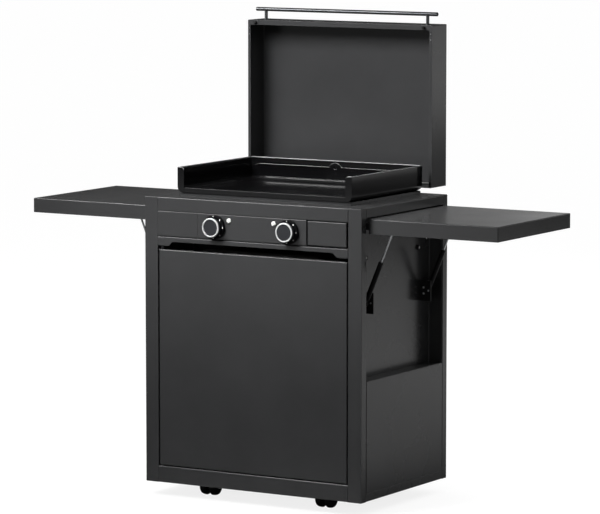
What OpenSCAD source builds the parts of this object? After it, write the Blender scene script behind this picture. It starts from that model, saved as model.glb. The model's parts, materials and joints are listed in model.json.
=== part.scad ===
// Gas griddle on a steel cart, with a hinged lid, fold-down side tables and a cabinet.
// Millimetres. X runs across the front, Y from the front to the back, Z up.
// The origin is on the floor, under the middle of the whole object's box.
// Lengths in the sections are measured from the cart: its front face is Y = 0,
// the lower ends of its posts are Z = 0, and placed() moves all of it into the frame.

/* [Cart] */
// Width of the cart over its posts
cart_w = 744; // [700:1:820]
// Depth of the cart over its posts
cart_d = 509; // [500:1:540]
// Height of the worktop above the posts' lower ends
cart_h = 856; // [840:1:900]
// Height of the posts' lower ends above the floor
floor_gap = 41; // [36:1:50]
// Thickness of the folded steel sheet
sheet_t = 1.5; // [1:0.1:2]
// Inner radius of the bends in the sheet
bend_r = 1.5; // [1:0.1:2.5]
// Width of a post, seen from the front
post_w = 45; // [36:1:55]
// Depth of a front post
post_front_d = 28.5; // [26:0.5:34]
// Depth of a rear post
post_rear_d = 26.5; // [24:0.5:32]
// Joint left open between neighbouring fixed pieces
joint_gap = 0.8; // [0.4:0.1:0.9]
// Depth of the niche in each side of the cart
niche_d = 46.5; // [46:0.5:50]
// Height of the worktop's folded edge along the sides and the back
apron_h = 28; // [20:1:29]
// Height of the base rail, seen from the front
base_h = 50; // [44:1:60]
// Height of the base rails along the sides
side_base_h = 25; // [22:1:30]
// Height of the closed panel below each niche
side_panel_top = 353; // [300:1:354]

/* [Front] */
// Height of the worktop's folded band above the control panel
band_h = 40; // [30:1:50]
// Height of the control panel
panel_h = 77.6; // [74:0.2:84]
// Height of the grip rail below the control panel
grip_rail_h = 28.5; // [24:0.5:34]
// Height of the grip cut-out in the rail's lower edge
grip_cut_h = 14.5; // [10:0.5:18]
// Distance of the grip cut-out from the ends of the rail
grip_cut_in = 36.2; // [35:0.2:80]
// Width of each field beside the middle one of the control panel, joint included
side_field_w = 139.6; // [138:0.2:150]
// Depth of the folds along the front panels
fold_d = 10; // [6:1:12]
// Distance of each knob from the middle
knob_x = 126; // [118:1:134]
// Distance of the knobs' axis below the worktop
knob_drop = 79; // [78:0.5:80]
// Distance of each igniter button from the middle
igniter_x = 77; // [70:1:80]
// Height of the igniter buttons above the knobs' axis
igniter_rise = 21; // [18:1:24]

/* [Knobs] */
// Radius of the black disc behind a knob
bezel_r = 36; // [32:0.5:37]
// Height of that disc
bezel_t = 10; // [8:0.5:11]
// Radius of a knob
knob_r = 28.5; // [26:0.5:30]
// Length of a knob
knob_len = 13.5; // [12:0.5:15]
// Width of the bright ring at a knob's face
ring_w = 4.5; // [3.5:0.5:5.5]
// Travel of a knob when it is pushed in
knob_travel = 3; // [2:0.5:3]
// Radius of an igniter button
igniter_r = 6.8; // [6:0.1:7.5]
// Height of an igniter button above the panel
igniter_proud = 5; // [4:0.5:7]

/* [Door] */
// Gap between the door and each post
door_side_gap = 4; // [3:0.5:6]
// Gap between the door and the base rail
door_low_gap = 3; // [2:0.5:5]
// Gap between the door and the grip rail
door_top_gap = 9.9; // [8:0.1:12]
// Thickness of the door
door_t = 20; // [18:1:21]
// Width of the return fold inside the door
door_lip = 14; // [10:1:20]
// Half length of the pull lip behind the door's top edge
pull_x = 197; // [150:1:210]
// Distance of the pull lip's rear edge from the front face
pull_y = 50; // [40:1:54]

/* [Drawer] */
// Gap all round the drawer front
drawer_gap = 3; // [2:0.5:4]
// Width of the drawer's tray
drawer_w = 108; // [90:1:112]
// Length of the drawer's tray
drawer_len = 300; // [270:1:320]
// Height of the drawer's tray
drawer_h = 34; // [28:1:36]

/* [Side tables] */
// Width of a side table, from the cart outwards
table_len = 421; // [380:1:421]
// Height of a side table's folded edges
table_t = 43.5; // [38:0.5:46]
// Distance of the tables' top below the worktop
table_drop = 30.6; // [30:0.2:34]
// Gap between a table and the cart's side face
table_gap = 5; // [4:0.5:8]
// Gap between a table and the niche's front and rear
table_end_gap = 1.2; // [0.8:0.1:3]
// Radius of the tables' folded edges
table_edge_r = 3; // [2.5:0.1:4]
// Radius of the hinge bolts
table_bolt_r = 4; // [3:0.5:5]
// Thickness of a hinge arm
arm_t = 3; // [2:0.5:4]
// Distance of the crossbar's near side from the hinge
crossbar_x = 82; // [80:1:86]
// Width of the crossbar
crossbar_w = 36; // [34:1:44]

/* [Struts] */
// Distance of each strut from the niche's front or rear
strut_inset = 40; // [36:1:44]
// Distance of a strut's lower pivot inside the cart's side face
strut_low_in = 27.3; // [26:0.1:29]
// Height of a strut's lower pivot
strut_low_z = 574; // [568:1:575]
// Distance of a strut's upper pivot outside the cart's side face
strut_high_out = 65; // [63:1:67]
// Distance of a strut's upper pivot below the worktop
strut_high_drop = 64; // [62:1:65]
// Radius of a strut's cylinder
strut_cyl_r = 7.5; // [7:0.5:9]
// Distance from the lower pivot to the cylinder's upper end
strut_cyl_len = 134; // [128:1:134]
// Radius of a strut's rod
strut_rod_r = 3; // [2.5:0.5:4]
// Radius of the pivot studs
stud_r = 4; // [3:0.5:4.5]
// Distance from a strut's middle to the face of its bracket
stud_reach = 13.5; // [12:0.5:16]

/* [Griddle] */
// Width of the splash guard
tray_w = 600; // [560:1:606]
// Distance of the splash guard in front of the rear face
tray_rear_in = 23.5; // [22:0.5:30]
// Distance of the splash guard behind the front face
tray_y = 66.5; // [66:0.5:68]
// Height of the splash guard's top edge above the worktop
tray_rise = 85; // [70:1:88]
// Thickness of the splash guard and the cooking plate
tray_t = 3; // [2:0.5:4]
// Outer radius of the guard's lower bend
tray_bend_r = 18; // [15:1:22]
// Width of the guard's folds at its front ends
guard_fold = 23; // [18:1:28]
// Height of the hob's frame above the worktop
hob_rise = 9; // [7:1:12]
// Depth of the hob's well below the worktop
hob_depth = 66; // [62:1:67]
// Height of the plate's front lip above the hob's frame
lip_h = 15; // [12:1:20]
// Height of the plate's rear wall below the guard's top edge
ledge_drop = 20; // [16:1:26]
// Radius of the drain hole
drain_r = 11; // [8:0.5:12]

/* [Lid] */
// Width of the lid
lid_w = 644; // [640:1:660]
// Height of the open lid
lid_h = 486; // [484:1:492]
// Depth of the lid
lid_d = 91.6; // [91:0.2:96]
// Distance of the open lid's rim in front of the cart's rear face
lid_in = 9.2; // [6:0.2:10]
// Distance of the hinge ears' feet in front of the cart's rear face
ear_in = 9.7; // [9.5:0.1:10.2]
// Gap between the worktop and the open lid's lower edge
lid_rise = 15.7; // [15:0.1:18]
// Outer radius of the lid's edges
lid_edge_r = 3; // [2.5:0.1:5]
// Width of the fold along the lid's upper rim
lid_top_fold = 15; // [10:1:20]
// Width of the folds along the lid's side rims
lid_side_fold = 9; // [6:1:12]
// Distance of the hinge rod behind the open lid's rim
hinge_y = 18.2; // [17.6:0.2:19]
// Distance of the hinge rod above the lid's lower edge
hinge_z = 11.3; // [11:0.1:12]
// Radius of the hinge rod
hinge_r = 4; // [3:0.5:4.5]
// Distance of each hinge ear from the middle
ear_x = 262; // [240:1:280]
// Radius of the handle bar
handle_r = 6; // [5:0.5:8]
// Half length of the handle bar
handle_x = 317; // [300:1:322]
// Distance of the handle posts from the middle
handle_post_x = 283; // [260:1:290]
// Distance of the handle bar's axis above the lid
handle_rise = 31; // [26:1:40]

/* [Casters] */
// Radius of a caster's wheels
wheel_r = 25; // [22:1:26]
// Width over a caster's two wheels
wheel_w = 58; // [50:1:62]
// Distance of the casters inside the cart's side faces
caster_in_x = 171; // [150:1:200]
// Distance of the front casters' wheels behind the front face
caster_front_y = 92; // [90:1:110]
// Distance of the rear casters' wheels in front of the rear face
caster_rear_in = 92; // [90:1:110]
// Distance of a wheel's axle from its swivel
caster_trail = 14; // [10:1:18]

/* [Hidden] */
$fn = 48;

// Finishes
anthracite = "#43464a";
dark_steel = "#2e3032";
black_part = "#17181a";
enamel = "#101113";
bright_steel = "#b9bcbf";
white_part = "#e8e8e6";

// Clearances
eps = 0.01;
face_gap = 0.3;      // between faces that move past each other
fit_gap = 0.05;      // round a shaft that turns or slides in its hole
bolt_gap = 0.1;      // round a bolt in a fixed hole

// Levels and places that more than one piece uses
half_w = cart_w / 2;
caster_x = half_w - caster_in_x;
caster_rear_y = cart_d - caster_rear_in;
top_z = cart_h - sheet_t;                      // underside of the worktop's sheet
web_x = half_w - niche_d;                      // niche wall, seen from the niche
wall_x = half_w - 2 * sheet_t - joint_gap;     // outer edges of the inner walls' folds
niche_y0 = post_front_d + sheet_t;
niche_y1 = cart_d - post_rear_d - sheet_t;
post_x = half_w - post_w;                      // inner face of a post
bay_x = post_x - joint_gap;                    // half width of the fixed front panels
grip_cut_x = bay_x - grip_cut_in;              // half width of the grip cut-out at the rail's edge
panel_x = bay_x - side_field_w;                // half width of the control panel's middle field
floor_drop = 30;
floor_z = base_h - floor_drop;                 // underside of the floor panel
panel_z1 = cart_h - band_h;
panel_z0 = panel_z1 - panel_h;
grip_z0 = panel_z0 - grip_rail_h;
knob_z = cart_h - knob_drop;
panel_low = panel_z0 + joint_gap;              // lower edge of the fixed front panels
panel_high = panel_z1 - joint_gap;
shield_z = panel_z0 + 2.3;                     // underside of the heat shield
shield_top = shield_z + sheet_t;
runner_t = 1.5;
tray_z = shield_top + runner_t + face_gap;     // underside of the grease tray

// Hob and griddle
plate_z = cart_h + hob_rise;                   // top of the hob's frame
tray_top = cart_h + tray_rise;
tray_d = cart_d - tray_rear_in - tray_y;       // depth of the splash guard
hob_inset = 4;                                 // frame inside the splash guard's outline
hob_frame_w = 17.5;                            // frame outside the well
hob_x = tray_w / 2 - hob_inset;
hob_y0 = tray_y + hob_inset;
hob_y1 = tray_y + tray_d - hob_inset;
well_x = min(hob_x - hob_frame_w, web_x - sheet_t - 1);
well_y0 = hob_y0 + hob_frame_w;
well_y1 = hob_y1 - hob_frame_w;
well_z = cart_h - hob_depth;
drain_y = 230;

// Lid
lid_y = cart_d - lid_in;
lid_z = cart_h + lid_rise;
lid_top = lid_z + lid_h;
lid_back = lid_y + lid_d;
pivot_y = lid_y + hinge_y;
pivot_z = lid_z + hinge_z;
closed_gap = pivot_z - hinge_y - cart_h;       // rim above the worktop when the lid is shut
handle_y = lid_y + lid_d / 2 - 2.6;
handle_z = lid_top + handle_rise;

// Side tables, in the right-hand one's place
fold_x = half_w - table_t / 2;                 // hinge axis: a folded table lies flush
table_z1 = cart_h - table_drop;
fold_z = table_z1 - table_t / 2;
table_x0 = half_w + table_gap;
table_y0 = niche_y0 + table_end_gap;
table_y1 = niche_y1 - table_end_gap;
arm_y0 = table_y0 + sheet_t;                   // hinge arms, inside the table's end folds
arm_y1 = table_y1 - sheet_t;
arm_h = 20;
arm_len = 150;
crossbar_low = 3.75;                           // crossbar's lower face above the table's lower edge

// Struts, in the right-hand side's place
low_x = half_w - strut_low_in;
high_x = half_w + strut_high_out;
high_z = cart_h - strut_high_drop;
strut_len = norm([high_x - low_x, high_z - strut_low_z]);
strut_tilt = atan2(high_x - low_x, high_z - strut_low_z);
strut_y0 = niche_y0 + strut_inset;
strut_y1 = niche_y1 - strut_inset;
ear_t = 3;
crossbar_y0 = strut_y0 + stud_reach + 1.5;
crossbar_y1 = strut_y1 - stud_reach - 1.5;

// Door
door_x = post_x - door_side_gap;
door_z0 = base_h + door_low_gap;
door_z1 = grip_z0 - door_top_gap;
door_pin_r = 3;
door_pin_x = -door_x + 10;
door_pin_y = 8;

// Drawer
drawer_x0 = panel_x + drawer_gap + joint_gap;
drawer_x1 = post_x - drawer_gap - drawer_gap;
drain_x = (drawer_x0 + drawer_x1) / 2;
tray_x0 = (drawer_x0 + drawer_x1 - drawer_w) / 2;

// Gas parts
stem_r = 4;
stem_in = 30;                                  // stem's reach behind the front face
valve_len = 48;
valve_r = 11;
valve_flange_r = 16;
gas_pipe_r = 5;
manifold_r = 9;
manifold_y = 46;
manifold_z = knob_z - valve_r - manifold_r - 2;
nozzle_len = 58;
inlet_x = -225;
inlet_r = 6;
burner_w = 60;
burner_h = 22;
jet_z = well_z + sheet_t + 12 + burner_h / 2;

// Air slots
slot_w = 6;
slot_step = 40;
floor_slot = 60;
back_slot = 180;
back_slot_step = 18;
back_slot_in = 60;                             // lowest slots above the back panel's lower edge

// Small parts
ring_t = 4;
strut_wall = 1.5;
screw_r = 2.5;
bracket_h = 62;
bracket_out = 18.2;                            // bracket's reach past the pivot
bracket_foot = 28;                             // its foot's reach along the niche wall
screw_places = [[low_x - 6.3, strut_low_z + 9], [low_x - 6.3, strut_low_z - 9], [low_x + 9.7, strut_low_z]];
bolt_spacer = arm_y0 - niche_y0 - 2 * face_gap;
bolt_shoulder = 5 + arm_t + 2 * face_gap;
bolt_grip = bolt_shoulder + bolt_spacer + face_gap + 2 * sheet_t;
catch_w = 40;
catch_h = 18;
catch_x = web_x - 20 - catch_w;
buffer_len = fold_x - table_t / 2 + crossbar_low - web_x - face_gap;
swivel_r = 5;
axle_r = 3;

// Whole object
knob_front = bezel_t + knob_travel + 0.5 + knob_len;
mid_y = (lid_back - knob_front) / 2;

// Moves a piece from the cart's own measures into the frame
module placed() translate([0, -mid_y, floor_gap]) children();

// A copy of its children on each side of the cart
module both_sides() {
    children();
    mirror([1, 0, 0]) children();
}

// Extrudes an outline drawn in (Y, Z) along X, or one drawn in (X, Z) along Y
module along_x(length) rotate([90, 0, 90]) linear_extrude(length) children();
module along_y(length) translate([0, length, 0]) rotate([90, 0, 0]) linear_extrude(length) children();

// A cylinder along X or along Y, from its start
module rod_x(r, length) rotate([0, 90, 0]) cylinder(r = r, h = length);
module rod_y(r, length) rotate([-90, 0, 0]) cylinder(r = r, h = length);

// A half or a whole profile (radius, height) turned about an axis that runs along Y
module turned_y() rotate([-90, 0, 0]) rotate_extrude() children();

// Points of an arc about c, or the corner point itself where the radius is nil
function arc(c, r, a0, a1, n = 6) =
    r > 0 ? [for (i = [0:n]) c + r * [cos(a0 + (a1 - a0) * i / n), sin(a0 + (a1 - a0) * i / n)]] : [c];

// Rectangle from (0, 0) whose corners have the radii r, from the lower left one anticlockwise
function round_rect(w, h, r, n = 6) = concat(
    arc([r[0], r[0]], r[0], 180, 270, n),
    arc([w - r[1], r[1]], r[1], 270, 360, n),
    arc([w - r[2], h - r[2]], r[2], 0, 90, n),
    arc([r[3], h - r[3]], r[3], 90, 180, n)
);

// Outline of a bent sheet: its face follows path, and its material lies on the left
function unit(v) = v / norm(v);
function left_of(v) = [-v[1], v[0]];
function turned(v, a) = [v[0] * cos(a) - v[1] * sin(a), v[0] * sin(a) + v[1] * cos(a)];
function bend(a, b, c, t, off, n = 4) =
    let (
        d1 = unit(b - a),
        d2 = unit(c - b),
        side = sign(cross(d1, d2)),
        angle = acos(d1 * d2),
        r = bend_r + (side > 0 ? t : 0),
        centre = b - d1 * r * tan(angle / 2) + left_of(d1) * side * r
    )
    [for (i = [0:n]) centre - turned(left_of(d1), side * angle * i / n) * side * (r - side * off)];
function sheet_face(path, t, off) =
    let (last = len(path) - 1)
    concat(
        [path[0] + left_of(unit(path[1] - path[0])) * off],
        [for (i = [1:1:last - 1]) each bend(path[i - 1], path[i], path[i + 1], t, off)],
        [path[last] + left_of(unit(path[last] - path[last - 1])) * off]
    );
function reversed(list) = [for (i = [len(list) - 1:-1:0]) list[i]];
module sheet(path, t = sheet_t) polygon(concat(sheet_face(path, t, 0), reversed(sheet_face(path, t, t))));

// A block whose lower edges and upright edges are rounded
module rounded_block(size, r, n = 6) intersection() {
    along_y(size[1]) polygon(round_rect(size[0], size[2], [r, r, 0, 0], n));
    along_x(size[0]) polygon(round_rect(size[1], size[2], [r, r, 0, 0], n));
    linear_extrude(size[2]) polygon(round_rect(size[0], size[1], [r, r, r, r], n));
}

// A folded tray that is open on top. lips gives the width of its rim at low X, high X, low Y, high Y
module folded_tray(size, t, r, lips = [0, 0, 0, 0]) {
    rim = max(lips) > 0 ? t : -1;
    cut = [for (lip = lips) max(lip, t)];
    difference() {
        rounded_block(size, r);
        translate([t, t, t]) rounded_block([size[0] - 2 * t, size[1] - 2 * t, size[2] - t - rim], r - t);
        translate([cut[0], cut[2], size[2] - 2 * t])
            cube([size[0] - cut[0] - cut[1], size[1] - cut[2] - cut[3], 3 * t]);
    }
}

// Worktop: one sheet folded down into the front band and the side and rear aprons
module worktop() color(anthracite) placed() difference() {
    translate([half_w, 0, cart_h]) rotate([0, 180, 0])
        folded_tray([cart_w, cart_d, band_h], sheet_t, bend_r + sheet_t);
    // The side and rear aprons are lower than the front band
    translate([-half_w - 1, 2 * sheet_t, panel_z1 - 1]) cube([cart_w + 2, cart_d, band_h - apron_h + 1]);
    for (x = [-1, 1], y = [0, cart_d])
        translate([x * half_w, y, panel_z1 - 1])
            cube([2 * (post_w + joint_gap), 2 * (y > 0 ? post_rear_d : post_front_d) + 2 * joint_gap,
                2 * (band_h - sheet_t + 1)], center = true);
    translate([-well_x - 1, well_y0 - 1, top_z - 1]) cube([2 * well_x + 2, well_y1 - well_y0 + 2, sheet_t + 2]);
}

// Post: a square tube with a closed foot, whose bolt hole carries a side table
module post(depth, hole_y) difference() {
    linear_extrude(top_z) polygon(round_rect(post_w, depth, [sheet_t, sheet_t, sheet_t, sheet_t], 4));
    translate([sheet_t, sheet_t, sheet_t]) cube([post_w - 2 * sheet_t, depth - 2 * sheet_t, top_z]);
    translate([fold_x - post_x, hole_y, fold_z]) rod_y(table_bolt_r + bolt_gap, 2 * sheet_t);
}
module front_posts() color(anthracite) placed() both_sides()
    translate([post_x, 0, 0]) post(post_front_d, post_front_d - 1.5 * sheet_t);
module rear_posts() color(anthracite) placed() both_sides()
    translate([post_x, cart_d - post_rear_d, 0]) post(post_rear_d, -sheet_t / 2);

// Grip rail: a folded rail whose lower edge has a long cut-out for the fingers above the door
module grip_rail() color(anthracite) placed() difference() {
    translate([-bay_x, 0, 0]) along_x(2 * bay_x)
        sheet([[post_front_d, panel_z0], [0, panel_z0], [0, grip_z0], [post_front_d, grip_z0]]);
    translate([0, -1, 0]) along_y(post_front_d + 2)
        polygon([[-grip_cut_x, grip_z0 - 1], [grip_cut_x, grip_z0 - 1], [grip_cut_x, grip_z0],
            [grip_cut_x - grip_cut_h, grip_z0 + grip_cut_h], [grip_cut_h - grip_cut_x, grip_z0 + grip_cut_h],
            [-grip_cut_x, grip_z0]]);
    translate([door_pin_x, door_pin_y, grip_z0 - 1]) cylinder(r = door_pin_r + bolt_gap, h = sheet_t + 2);
}

// Base rails: high folded rails at the front and the back, low angles along the sides
module base_rails() color(anthracite) placed() {
    rear_in = cart_d - post_rear_d;
    difference() {
        translate([-bay_x, 0, 0]) along_x(2 * bay_x)
            sheet([[post_front_d, base_h], [0, base_h], [0, 0], [post_front_d, 0]]);
        translate([door_pin_x, door_pin_y, base_h - sheet_t - 1])
            cylinder(r = door_pin_r + bolt_gap, h = sheet_t + 2);
    }
    translate([-bay_x, 0, 0]) along_x(2 * bay_x)
        sheet([[rear_in, 0], [cart_d, 0], [cart_d, base_h], [rear_in, base_h]]);
    both_sides() translate([0, post_front_d + joint_gap, 0]) along_y(rear_in - post_front_d - 2 * joint_gap)
        sheet([[web_x, 0], [half_w, 0], [half_w, side_base_h]]);
}

// Floor panel: a plate on folded edges, with a row of air slots
module floor_panel() color(anthracite) placed() {
    x = half_w - sheet_t - joint_gap;
    y0 = sheet_t + joint_gap;
    y1 = cart_d - sheet_t - joint_gap;
    edge_z = 2 * sheet_t + bend_r;
    difference() {
        union() {
            translate([-x, y0, floor_z]) cube([2 * x, y1 - y0, sheet_t]);
            for (y = [y0, y1 - sheet_t])
                translate([-bay_x, y, edge_z]) cube([2 * bay_x, sheet_t, floor_z - edge_z + eps]);
        }
        for (sx = [-1, 1], y = [0, cart_d])
            translate([sx * half_w, y, floor_z]) cube([2 * (post_w + joint_gap),
                2 * (y > 0 ? post_rear_d : post_front_d) + 2 * joint_gap, 4 * floor_z], center = true);
        for (i = [-4:4])
            translate([i * slot_step, cart_d / 2, floor_z - 1])
                linear_extrude(sheet_t + 2) slot(floor_slot, slot_w);
    }
}

// A slot with round ends, along Y
module slot(length, width) {
    square([width, length - width], center = true);
    for (s = [-1, 1]) translate([0, s * (length - width) / 2]) circle(d = width);
}

// Inner walls: each one is folded outwards at both ends and lines a niche
module inner_walls() color(anthracite) placed() both_sides() difference() {
    translate([0, 0, floor_z + sheet_t]) linear_extrude(top_z - floor_z - sheet_t)
        sheet([[wall_x, niche_y1 + sheet_t], [web_x - sheet_t, niche_y1 + sheet_t],
            [web_x - sheet_t, post_front_d], [wall_x, post_front_d]]);
    for (y = [post_front_d - 1, niche_y1 - 1])
        translate([fold_x, y, fold_z]) rod_y(table_bolt_r + bolt_gap, sheet_t + 2);
}

// Side panels: each closes the cart below its niche and folds in at the top as a shelf
module side_panels() color(anthracite) placed() both_sides()
    translate([0, niche_y0 + joint_gap, 0]) along_y(niche_y1 - niche_y0 - 2 * joint_gap)
        sheet([[half_w, side_base_h + joint_gap], [half_w, side_panel_top], [web_x + joint_gap, side_panel_top]]);

// Back panel with two blocks of air slots
module back_panel() color(anthracite) placed() {
    z0 = base_h + joint_gap;
    z1 = cart_h - apron_h - joint_gap;
    translate([0, cart_d - sheet_t, 0]) along_y(sheet_t) difference() {
        translate([-bay_x, z0]) square([2 * bay_x, z1 - z0]);
        for (x = [-1, 1], i = [0:5], z = [z0 + back_slot_in, z1 - back_slot_in - 5 * back_slot_step])
            translate([x * bay_x / 2, z + i * back_slot_step]) rotate(90) slot(back_slot, slot_w);
    }
}

// Heat shield: the sheet between the cabinet and the gas parts, folded up at the inner walls
module heat_shield() color(dark_steel) placed() difference() {
    x = web_x - sheet_t;
    translate([0, niche_y0, 0]) along_y(niche_y1 - niche_y0)
        sheet([[-x, shield_z + 18], [-x, shield_z], [x, shield_z], [x, shield_z + 18]]);
    translate([inlet_x, manifold_y, shield_z - 1]) cylinder(r = inlet_r + 3, h = sheet_t + 2);
}

// Drawer runners: two angles on the heat shield
module drawer_runners() color(dark_steel) placed() {
    y0 = post_front_d;
    x0 = tray_x0 - face_gap;
    x1 = tray_x0 + drawer_w + face_gap;
    translate([0, y0 + 2, shield_top]) along_y(drawer_len) {
        translate([x0 - runner_t, 0]) square([runner_t, 14]);
        translate([x0 - runner_t, 0]) square([10, runner_t]);
    }
    translate([0, y0 + 2, shield_top]) along_y(drawer_len) {
        translate([x1, 0]) square([runner_t, 14]);
        translate([x1 + runner_t - 10, 0]) square([10, runner_t]);
    }
}

// A front panel folded along its upper and lower edges
module front_panel(x0, x1) translate([x0, 0, 0]) along_x(x1 - x0)
    sheet([[fold_d, panel_high], [0, panel_high], [0, panel_low], [fold_d, panel_low]]);

module control_panel() color(anthracite) placed() difference() {
    front_panel(-panel_x, panel_x);
    for (s = [-1, 1]) {
        translate([s * knob_x, -1, knob_z]) rod_y(stem_r + 3, sheet_t + 2);
        translate([s * igniter_x, -1, knob_z + igniter_rise]) rod_y(igniter_r + face_gap, sheet_t + 2);
    }
}

// The left-hand field, bare
module blank_panel() color(anthracite) placed() front_panel(-bay_x, -panel_x - joint_gap);

// Bezels: the black discs behind the knobs
module knob_bezels() color(black_part) placed() for (s = [-1, 1])
    translate([s * knob_x, -bezel_t, knob_z]) turned_y()
        polygon([[stem_r + 2, 0], [bezel_r - 2.5, 0], [bezel_r, 2.5], [bezel_r, bezel_t], [stem_r + 2, bezel_t]]);

// Gas valves: body, flange behind the panel, inlet stub and the pipe to the burner's jet
module gas_valves() color(bright_steel) placed() for (s = [-1, 1]) translate([s * knob_x, 0, 0]) difference() {
    union() {
        translate([0, sheet_t, knob_z]) rod_y(valve_flange_r, 5);
        translate([0, sheet_t, knob_z]) rod_y(valve_r, valve_len);
        translate([0, manifold_y, manifold_z + manifold_r]) cylinder(r = 6, h = knob_z - manifold_z - manifold_r);
        translate([0, manifold_y, knob_z]) cylinder(r = gas_pipe_r, h = jet_z - knob_z);
        translate([0, manifold_y, jet_z]) sphere(r = gas_pipe_r);
        translate([0, manifold_y, jet_z]) rod_y(gas_pipe_r, well_y0 + 4 - manifold_y);
    }
    translate([0, sheet_t - 1, knob_z]) rod_y(stem_r + fit_gap, stem_in + knob_travel + 2);
}

// Gas manifold: a closed pipe behind the panel, and the hose nozzle that hangs from its end
module gas_manifold() color(bright_steel) placed() {
    translate([inlet_x - 14, manifold_y, manifold_z]) rod_x(manifold_r, knob_x + 14 + 14 - inlet_x);
    translate([inlet_x, manifold_y, manifold_z]) mirror([0, 0, 1]) rotate_extrude()
        polygon(concat([[0, 0], [inlet_r, 0], [inlet_r, nozzle_len - 22]],
            [for (i = [0:2]) each [[inlet_r - 1.5, nozzle_len - 20 + 6 * i], [inlet_r, nozzle_len - 16 + 6 * i]]],
            [[inlet_r - 1.5, nozzle_len], [inlet_r / 2, nozzle_len], [inlet_r / 2, 20], [0, 20]]));
}

// Burners: a flattened tube on two feet under each half of the plate, with two rows of ports
module burners() color(bright_steel) placed() for (s = [-1, 1]) translate([s * knob_x, 0, 0]) {
    y0 = well_y0 + 22;
    length = well_y1 - well_y0 - 44;
    difference() {
        union() {
            translate([-burner_w / 2, y0, jet_z - burner_h / 2]) along_y(length)
                polygon(round_rect(burner_w, burner_h, [9, 9, 9, 9]));
            translate([0, well_y0 + 8, jet_z]) rod_y(9, 15);
            for (y = [y0 + 30, y0 + length - 42])
                translate([-15, y, well_z + sheet_t]) cube([30, 12, jet_z - burner_h / 2 - well_z]);
        }
        translate([0, well_y0 + 7, jet_z]) rod_y(6, 30);
        for (side = [-1, 1], i = [0:9])
            translate([side * burner_w / 4, y0 + 20 + i * (length - 40) / 9, jet_z])
                cylinder(r = 2, h = burner_h, $fn = 16);
    }
}

// Hob case: the well that hangs in the worktop's cut-out, and the frame that rests on the worktop
module hob_case() color(anthracite) placed() difference() {
    union() {
        translate([-hob_x, hob_y0, cart_h]) linear_extrude(hob_rise)
            polygon(round_rect(2 * hob_x, hob_y1 - hob_y0, [3, 3, 3, 3]));
        translate([-well_x, well_y0, well_z]) cube([2 * well_x, well_y1 - well_y0, hob_depth + hob_rise / 2]);
    }
    translate([-hob_x + sheet_t, hob_y0 + sheet_t, cart_h + sheet_t])
        cube([2 * (hob_x - sheet_t), hob_y1 - hob_y0 - 2 * sheet_t, hob_rise]);
    translate([-well_x + sheet_t, well_y0 + sheet_t, well_z + sheet_t])
        cube([2 * (well_x - sheet_t), well_y1 - well_y0 - 2 * sheet_t, hob_depth + hob_rise]);
    for (s = [-1, 1]) translate([s * knob_x, well_y0 - 1, jet_z]) rod_y(7, sheet_t + 2);
    translate([drain_x, drain_y, well_z - 1]) cylinder(r = drain_r + 5, h = sheet_t + 2);
}

// The space inside a tray with round bends along its sides and its rear, open at the front
module tray_space(x, y0, y1, z0, z1, r) intersection() {
    translate([-x, y0, z0]) along_y(y1 - y0) polygon(round_rect(2 * x, z1 - z0, [r, r, 0, 0], 12));
    translate([-x, y0, z0]) along_x(2 * x) polygon(round_rect(y1 - y0, z1 - z0, [0, r, 0, 0], 12));
    translate([-x, y0, z0]) linear_extrude(z1 - z0) polygon(round_rect(2 * x, y1 - y0, [4, 4, 4, 4], 4));
}

// Splash guard: one sheet round three sides, curved in below and folded in at its front ends
module splash_guard() color(enamel) placed() {
    x = tray_w / 2;
    y1 = tray_y + tray_d;
    open_x = x - guard_fold;
    difference() {
        tray_space(x, tray_y, y1, plate_z, tray_top, tray_bend_r);
        tray_space(x - tray_t, tray_y + tray_t, y1 - tray_t, plate_z + tray_t, tray_top + 1, tray_bend_r - tray_t);
        // The floor is open between the lower curves
        translate([-x + tray_bend_r, tray_y - 1, plate_z - 1])
            cube([2 * (x - tray_bend_r), tray_d - tray_bend_r + 1, tray_t + 2]);
        // The front is open between the folds, whose upper corners are round
        translate([0, tray_y - 1, 0]) along_y(tray_t + 2) difference() {
            translate([-open_x - 12, plate_z - 1]) square([2 * open_x + 24, tray_top - plate_z + 2]);
            for (s = [-1, 1]) translate([s * (open_x + 12), 0]) difference() {
                translate([s < 0 ? 0 : -12, plate_z - 2]) square([12, tray_top - plate_z + 2 + eps]);
                translate([s < 0 ? 0 : -12, tray_top - 12]) difference() {
                    square([12, 13]);
                    translate([s < 0 ? 0 : 12, 0]) circle(r = 12);
                }
            }
        }
    }
}

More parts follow.
